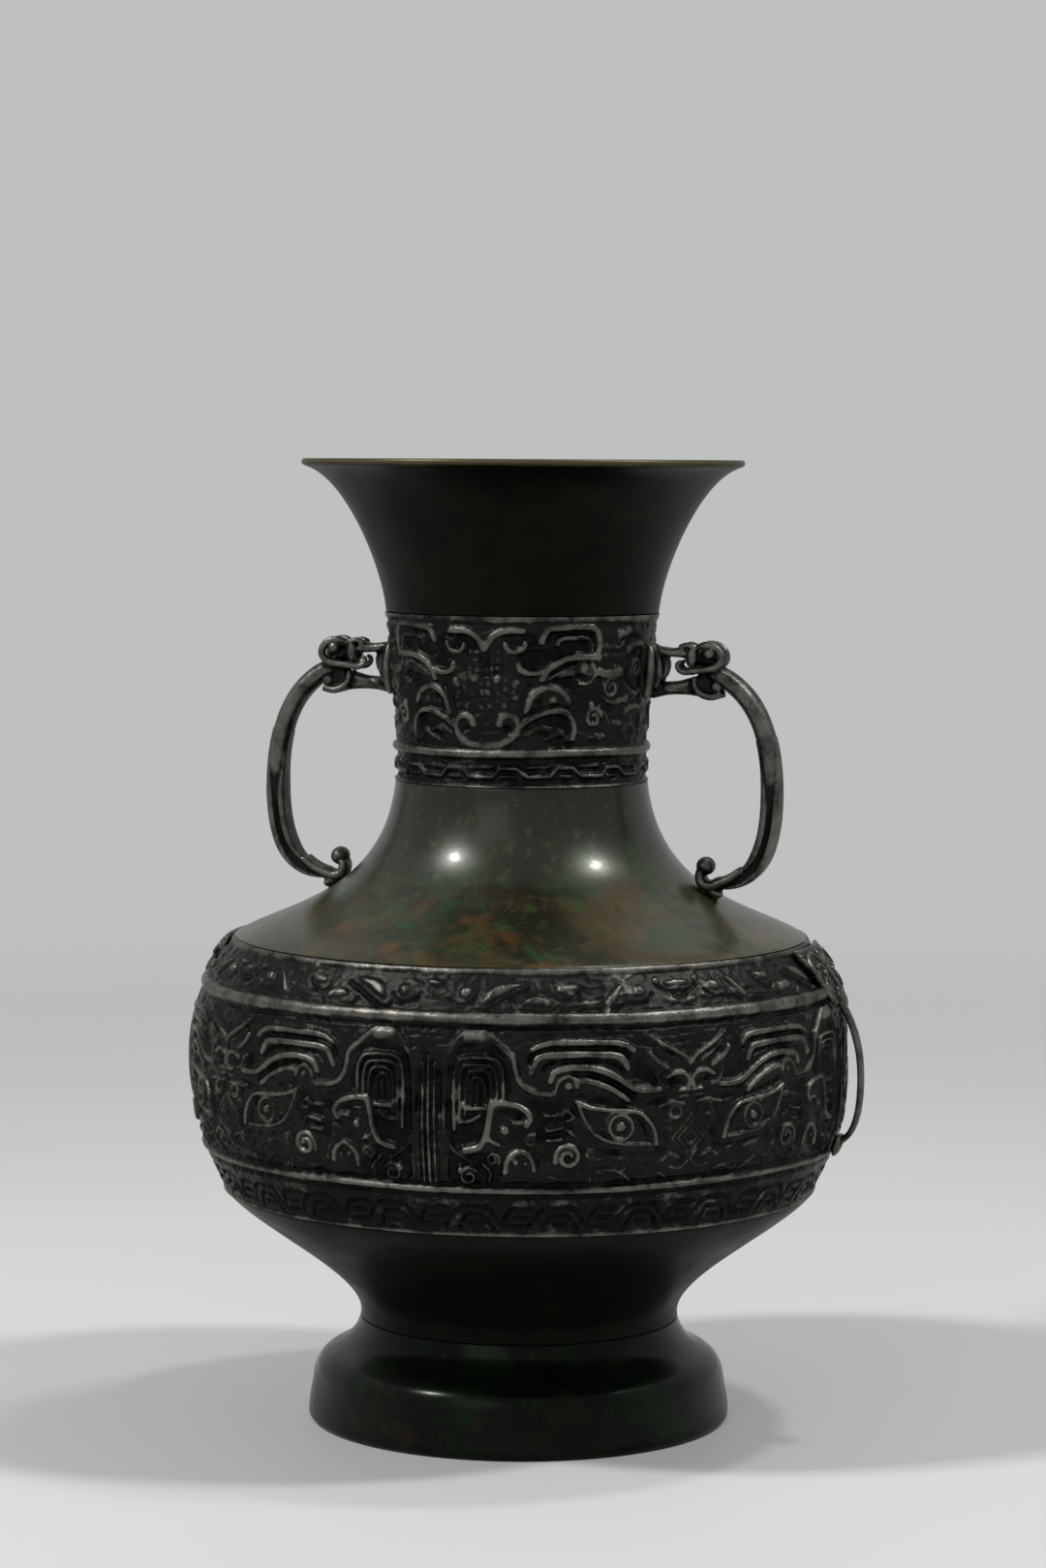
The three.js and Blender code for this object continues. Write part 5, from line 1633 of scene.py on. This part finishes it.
class Nodes:
    """The nodes of a material or a world, with a short way to add each kind that is used often."""

    mix_factor, mix_a, mix_b, mix_result = 0, 6, 7, 2

    def __init__(self, owner: bpy.types.Material | bpy.types.World) -> None:
        """Starts with an empty tree."""
        owner.use_nodes = True
        self.tree = owner.node_tree
        self.tree.nodes.clear()

    def add(self, kind: str, settings: dict | None = None) -> bpy.types.Node:
        """Adds a node.

        Args:
            kind: the node's type.
            settings: properties by name, and what each input takes: a value, or an output to link.

        Returns:
            The node.
        """
        made = self.tree.nodes.new(kind)
        for key, value in (settings or {}).items():
            if isinstance(value, Socket):
                self.tree.links.new(value, made.inputs[key])
            elif isinstance(key, str) and hasattr(made, key):
                setattr(made, key, value)
            else:
                made.inputs[key].default_value = value
        return made

    def place(self) -> Socket:
        """The place on the piece."""
        return self.add("ShaderNodeTexCoord").outputs["Object"]

    def colour(self, hex_colour: str) -> Socket:
        """One colour."""
        made = self.add("ShaderNodeRGB").outputs[0]
        made.default_value = linear(hex_colour)
        return made

    def cloud(self, place: Socket, size: float, detail: float, roughness: float = 0.5,
              distortion: float = 0.0) -> Socket:
        """A noise whose marks have a size in millimetres."""
        return self.add("ShaderNodeTexNoise", {
            "Scale": 1 / (size * MM), "Detail": detail, "Roughness": roughness, "Distortion": distortion,
            "Vector": place}).outputs["Fac"]

    def ramp(self, value: Socket, start: float, end: float, bottom: float = 0.0, top: float = 1.0,
             kind: str = "SMOOTHSTEP") -> Socket:
        """What goes from the bottom to the top while a value goes from its start to its end."""
        return self.add("ShaderNodeMapRange", {
            "interpolation_type": kind, "From Min": start, "From Max": end, "To Min": bottom, "To Max": top,
            "Value": value}).outputs[0]

    def maths(self, operation: str, *values: Socket | float) -> Socket:
        """The result of a calculation."""
        return self.add("ShaderNodeMath", {"operation": operation, **dict(enumerate(values))}).outputs[0]

    def over(self, colour: Socket, amount: Socket, hex_colour: str) -> Socket:
        """A colour with another laid over it by an amount."""
        return self.add("ShaderNodeMix", {
            "data_type": "RGBA", self.mix_factor: amount, self.mix_a: colour,
            self.mix_b: linear(hex_colour)}).outputs[self.mix_result]

    def seen_pale(self) -> Socket:
        """1 where the camera or a glossy surface looks at the backdrop, and 0 for its light."""
        path = self.add("ShaderNodeLightPath").outputs
        return self.maths("MAXIMUM", path["Is Camera Ray"], path["Is Glossy Ray"])


@dataclass(frozen=True)
class Tone:
    """A patch tone of a patina: it starts where its noise passes low, and is full at high.

    Its band fades it in from one height to another.
    """

    colour: str
    size: float
    low: float
    high: float
    strength: float = 1.0
    seed: float = 0.0
    band: tuple[float, float] | None = None

    def amount(self, nodes: Nodes, place: Socket, height: Socket) -> Socket:
        """How strongly the tone shows at each place, as an output."""
        moved = nodes.add("ShaderNodeMapping", {
            "Location": (self.seed, self.seed * 0.7, 0.0), "Vector": place}).outputs[0]
        cloud = nodes.cloud(moved, self.size, 7.0, 0.58, 0.25)
        amount = nodes.ramp(cloud, self.low, self.high, top=self.strength)
        if self.band:
            zone = nodes.ramp(height, self.band[0] * MM, self.band[1] * MM)
            amount = nodes.maths("MULTIPLY", amount, zone)
        return amount


@dataclass(frozen=True)
class PatinatedBronze:
    """Cast tin bronze under a chemical patina and wax: dark metal, uneven in colour and gloss."""

    name: str
    base: str
    tones: tuple[Tone, ...]
    metallic: float
    roughness: tuple[float, float]
    gloss_size: float
    grain: float
    grain_depth: float
    sheen_level: float = 0.2
    edge_colour: str = "#6a6a66"
    coat: float = 0.0
    coat_roughness: float = 0.15
    # Painted shade for the recesses of the relief, and worn bare metal with a painted highlight for its high
    # lines
    painted_recess_shade: str | None = None
    rubbed_metal_and_highlight: str | None = None
    lip: str | None = None

    def material(self) -> bpy.types.Material:
        """Builds the material's nodes."""
        made = bpy.data.materials.new(self.name)
        nodes = Nodes(made)
        place = nodes.place()
        height = nodes.add("ShaderNodeSeparateXYZ", {0: place}).outputs["Z"]
        colour = nodes.colour(self.base)
        for tone in self.tones:
            colour = nodes.over(colour, tone.amount(nodes, place, height), tone.colour)
        gloss = nodes.cloud(place, self.gloss_size, 5.0, 0.6)
        rough = nodes.ramp(gloss, 0.35, 0.65, *self.roughness, kind="LINEAR")
        # Painted shade in the recesses and a painted highlight on the high lines
        if self.painted_recess_shade and self.rubbed_metal_and_highlight:
            colour, rough = self.worn(nodes, place, colour, rough)
        if self.lip:
            colour = self.bare_lip(nodes, place, height, colour)
        fine = nodes.cloud(place, self.grain, 4.0, 0.65)
        bump = nodes.add("ShaderNodeBump", {
            "Strength": 1.0, "Distance": self.grain_depth * MM, "Height": fine}).outputs[0]
        shader = nodes.add("ShaderNodeBsdfPrincipled", {
            "Metallic": self.metallic, "Specular IOR Level": self.sheen_level,
            "Specular Tint": linear(self.edge_colour), "Coat Weight": self.coat,
            "Coat Roughness": self.coat_roughness, "Base Color": colour, "Roughness": rough, "Normal": bump})
        nodes.add("ShaderNodeOutputMaterial", {"Surface": shader.outputs[0]})
        return made

    def worn(self, nodes: Nodes, place: Socket, colour: Socket, rough: Socket) -> tuple[Socket, Socket]:
        """Painted shade in the recesses, and worn bare metal with a painted highlight on the high lines.

        Args:
            nodes: the material's nodes.
            place: the place on the surface.
            colour: the colour so far.
            rough: the roughness so far.

        Returns:
            The new colour and roughness.
        """
        relief = nodes.add("ShaderNodeAttribute", {"attribute_name": "relief"}).outputs["Fac"]
        # Painted shade: the recesses are darkened towards the shade colour
        low = nodes.ramp(relief, 0.35, 0.0, top=0.8)
        rubbed_highlight_patches = nodes.maths("MULTIPLY_ADD", nodes.cloud(place, 9, 5.0, 0.7), 1.2, relief)
        # Worn bare metal and painted highlight: broken patches of a light colour on the high lines
        high = nodes.ramp(rubbed_highlight_patches, 1.3, 1.8, top=0.6)
        colour = nodes.over(nodes.over(colour, low, self.painted_recess_shade), high, self.rubbed_metal_and_highlight)
        return colour, nodes.maths("MULTIPLY_ADD", high, -0.06, rough)

    def bare_lip(self, nodes: Nodes, place: Socket, height: Socket, colour: Socket) -> Socket:
        """The patina worn off the lip's edge, unevenly, as a new colour output."""
        level = nodes.maths("MULTIPLY_ADD", nodes.cloud(place, 9, 4.0), 1.6 * MM, height)
        edge = nodes.ramp(level, (FORM.rim - 1.9) * MM, (FORM.rim - 0.2) * MM, top=0.9)
        return nodes.over(colour, edge, self.lip)


# Near-black brown patina, scraped smooth and waxed: a broad satin gloss
PLAIN = PatinatedBronze(
    name="waxed_brown_patina_bronze", base="#161410",
    tones=(Tone("#0f0e0b", 34, 0.45, 0.62, 0.8), Tone("#151a11", 22, 0.52, 0.7, 0.7, 3.1),
           Tone("#211b14", 15, 0.56, 0.72, 0.6, 7.7), Tone("#353127", 2.6, 0.66, 0.78, 0.3, 1.3)),
    metallic=0.4, roughness=(0.28, 0.4), gloss_size=18, grain=0.9, grain_depth=0.03, lip="#57523c")

# Fumed and burnished patina in green, rust and olive under a hard wax: sharp highlights
MOTTLED = PatinatedBronze(
    name="burnished_mottled_patina_bronze", base="#1f1e16",
    tones=(Tone("#3d361f", 34, 0.4, 0.6, 0.85, 2.2, (206, 180)),
           Tone("#20351f", 24, 0.46, 0.64, 0.85, 5.4, (218, 188)),
           Tone("#5e3f1c", 13, 0.5, 0.7, 0.7, 9.1, (194, 172)),
           Tone("#2a4a26", 8, 0.53, 0.7, 0.6, 4.2, (214, 186)),
           Tone("#11120e", 15, 0.54, 0.72, 0.7, 6.6), Tone("#47442a", 3.5, 0.54, 0.72, 0.6, 8.8),
           Tone("#141610", 1.5, 0.54, 0.7, 0.55, 1.4),
           Tone("#7c5a2a", 1.3, 0.6, 0.74, 0.45, 3.3, (192, 170))),
    metallic=0.2, roughness=(0.28, 0.34), gloss_size=12, grain=1.2, grain_depth=0.02, sheen_level=0.55,
    edge_colour="#d0d0cc", coat=0.12, coat_roughness=0.12)

# As-cast relief: dark grey-brown, with painted shade in the recesses and low on the belly, and a little worn
# bare metal with a painted highlight on top
RELIEF = PatinatedBronze(
    name="cast_relief_bronze", base="#201f1d",
    tones=(Tone("#171615", 26, 0.45, 0.62, 0.8, 1.7), Tone("#2d2720", 14, 0.56, 0.72, 0.5, 4.4),
           Tone("#1e241c", 9, 0.58, 0.72, 0.5, 8.2), Tone("#4a4742", 1.8, 0.6, 0.75, 0.35, 2.9),
           # Painted shade: the relief is darkened towards the bottom, below 108 mm, where the key-fret faces
           # down away from the lamps
           Tone("#100f0e", 40, 0.1, 0.2, 0.75, 5.1, (108, 94))),
    metallic=0.8, roughness=(0.24, 0.36), gloss_size=8, grain=0.55, grain_depth=0.12, sheen_level=0.3,
    # The two colours below: painted shade in the recesses, and worn bare metal with a painted highlight on
    # the high lines
    edge_colour="#d0d0cc", painted_recess_shade="#0d0c0b", rubbed_metal_and_highlight="#8a8780")

# Deep green-black patina, burnished and waxed like the shoulder
FOOT = PatinatedBronze(
    name="burnished_green_patina_bronze", base="#121410",
    tones=(Tone("#112212", 18, 0.46, 0.62, 0.8, 3.7), Tone("#241c12", 13, 0.54, 0.7, 0.7, 6.1),
           Tone("#1e361e", 4, 0.6, 0.72, 0.5, 1.9), Tone("#0b0c0a", 16, 0.5, 0.68, 0.7, 9.4)),
    metallic=0.3, roughness=(0.18, 0.3), gloss_size=12, grain=1.1, grain_depth=0.02, sheen_level=0.3,
    coat=0.05, coat_roughness=0.1)

# Bare bronze wire, hammered over and dulled by age
RIVET = PatinatedBronze(
    name="hammered_bronze_rivet", base="#6b573a",
    tones=(Tone("#3d3324", 3, 0.45, 0.65, 0.8), Tone("#8a7550", 1.5, 0.58, 0.72, 0.6, 2.0)),
    metallic=0.9, roughness=(0.4, 0.55), gloss_size=3, grain=0.7, grain_depth=0.05)

FINISHES = {
    Slot.PLAIN: PLAIN, Slot.MOTTLED: MOTTLED, Slot.RELIEF: RELIEF, Slot.FOOT: FOOT, Slot.RIVET: RIVET}


# Studio

@dataclass
class Studio:
    """A pale floor, a pale room, soft lamps and the camera of the photograph."""

    image: tuple[int, int] = (1080, 1619)
    focal_pixels: float = 4300.0
    sensor: float = 36.0
    azimuth: float = 14.0
    distance: float = 1425.0
    eye_level: float = 328.7
    pitch: float = 4.408
    lean: float = 0.3
    aim: float = 1.3
    middle: Point = (0.0, 0.0, 0.17)
    floor_radius: float = 6.0
    board_marks: float = 1000 / 3
    backdrop: str = "#bfc0c0"
    ambient: float = 0.4
    fade: tuple[float, float] = (0.35, 1.6)

    def camera(self) -> None:
        """Puts the camera where the photograph was taken from."""
        data = bpy.data.cameras.new("camera")
        data.sensor_width = self.sensor
        data.lens = self.sensor * self.focal_pixels / max(self.image)
        made = placed("camera", data)
        turn, dip = math.radians(self.azimuth), math.radians(self.pitch)
        made.location = Vector((math.sin(turn) * self.distance, -math.cos(turn) * self.distance,
                                self.eye_level)) * MM
        aside = turn - self.aim / self.focal_pixels
        ahead = Vector((-math.sin(aside) * math.cos(dip), math.cos(aside) * math.cos(dip), -math.sin(dip)))
        made.rotation_euler = (ahead.to_track_quat("-Z", "Y").to_matrix()
                               @ Matrix.Rotation(math.radians(self.lean), 3, "Z")).to_euler()
        bpy.context.scene.camera = made

    def lamp(self, name: str, place: Point, size: float, power: float) -> None:
        """Hangs one square softbox that faces the vase.

        Args:
            name: its name.
            place: its middle, in metres.
            size: its width, in metres.
            power: its power in watts.
        """
        data = bpy.data.lights.new(name, "AREA")
        data.shape = "SQUARE"
        data.size = size
        data.energy = power
        made = placed(name, data)
        made.location = place
        made.rotation_euler = (Vector(self.middle) - Vector(place)).to_track_quat("-Z", "Y").to_euler()

    def floor(self) -> None:
        """Lays the pale floor, which runs over into the backdrop far from the vase."""
        bm = bmesh.new()
        bmesh.ops.create_circle(bm, cap_ends=True, segments=96, radius=self.floor_radius)
        made = object_of(bm, "floor")
        matt = bpy.data.materials.new("matt_pale_board")
        nodes = Nodes(matt)
        place = nodes.place()
        cloud = nodes.cloud(place, self.board_marks, 3.0)
        colour = nodes.over(nodes.colour("#cbcbc9"), cloud, "#d1d1cf")
        board = nodes.add("ShaderNodeBsdfPrincipled", {"Roughness": 0.6, "Base Color": colour})
        away = nodes.add("ShaderNodeVectorMath", {"operation": "LENGTH", 0: place}).outputs["Value"]
        amount = nodes.maths("MULTIPLY", nodes.ramp(away, *self.fade), nodes.seen_pale())
        backdrop = nodes.add("ShaderNodeEmission", {"Color": linear(self.backdrop), "Strength": 1.0})
        both = nodes.add("ShaderNodeMixShader", {0: amount, 1: board.outputs[0], 2: backdrop.outputs[0]})
        nodes.add("ShaderNodeOutputMaterial", {"Surface": both.outputs[0]})
        made.data.materials.append(matt)

    def room(self) -> None:
        """Fills the room with a plain pale light."""
        world = bpy.data.worlds.new("pale_room")
        bpy.context.scene.world = world
        nodes = Nodes(world)
        light, wall = [
            nodes.add("ShaderNodeBackground", {"Color": linear(self.backdrop), "Strength": strength})
            for strength in (self.ambient, 1.0)]
        both = nodes.add("ShaderNodeMixShader", {
            0: nodes.seen_pale(), 1: light.outputs[0], 2: wall.outputs[0]})
        nodes.add("ShaderNodeOutputWorld", {"Surface": both.outputs[0]})

    def build(self) -> None:
        """Sets up the whole studio."""
        self.camera()
        self.floor()
        self.room()
        self.lamp("left_softbox", (-0.98, -0.72, 1.56), 0.2, 21)
        self.lamp("right_softbox", (1.13, 0.07, 1.62), 0.18, 16)
        self.lamp("overhead_softbox", (0.41, 0.27, 1.92), 0.14, 7)
        self.lamp("front_softbox", (-0.5, -2.4, 1.5), 1.3, 5)
        bpy.context.scene.view_settings.view_transform = "Standard"


def dress_nodes(names: Iterable[str], material: bpy.types.Material) -> None:
    """Gives solids that stay as they are a better material."""
    for name in names:
        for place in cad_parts[name].material_slots:
            place.material = material
        log.info("%s keeps its solid", name)


def main() -> None:
    """Builds the studio and every piece of the vase."""
    Studio().build()
    materials = {slot: finish.material() for slot, finish in FINISHES.items()}
    for section in (FootRing(), LowerBowl(), Shoulder(), MouthFlare()):
        section.build(materials[section.slot])
    for band in (BellyBand(), NeckBand()):
        band.build(materials[Slot.RELIEF])
    for side in Side:
        for handle in (NeckHandle(), BellyHandle()):
            handle.build(side, materials[Slot.RELIEF])
    dress_nodes(["base_plate"], materials[Slot.PLAIN])
    dress_nodes([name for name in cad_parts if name.endswith("_rivet")], materials[Slot.RIVET])


if __name__ == "__main__":
    logging.basicConfig(level=logging.INFO, format="%(message)s")
    main()
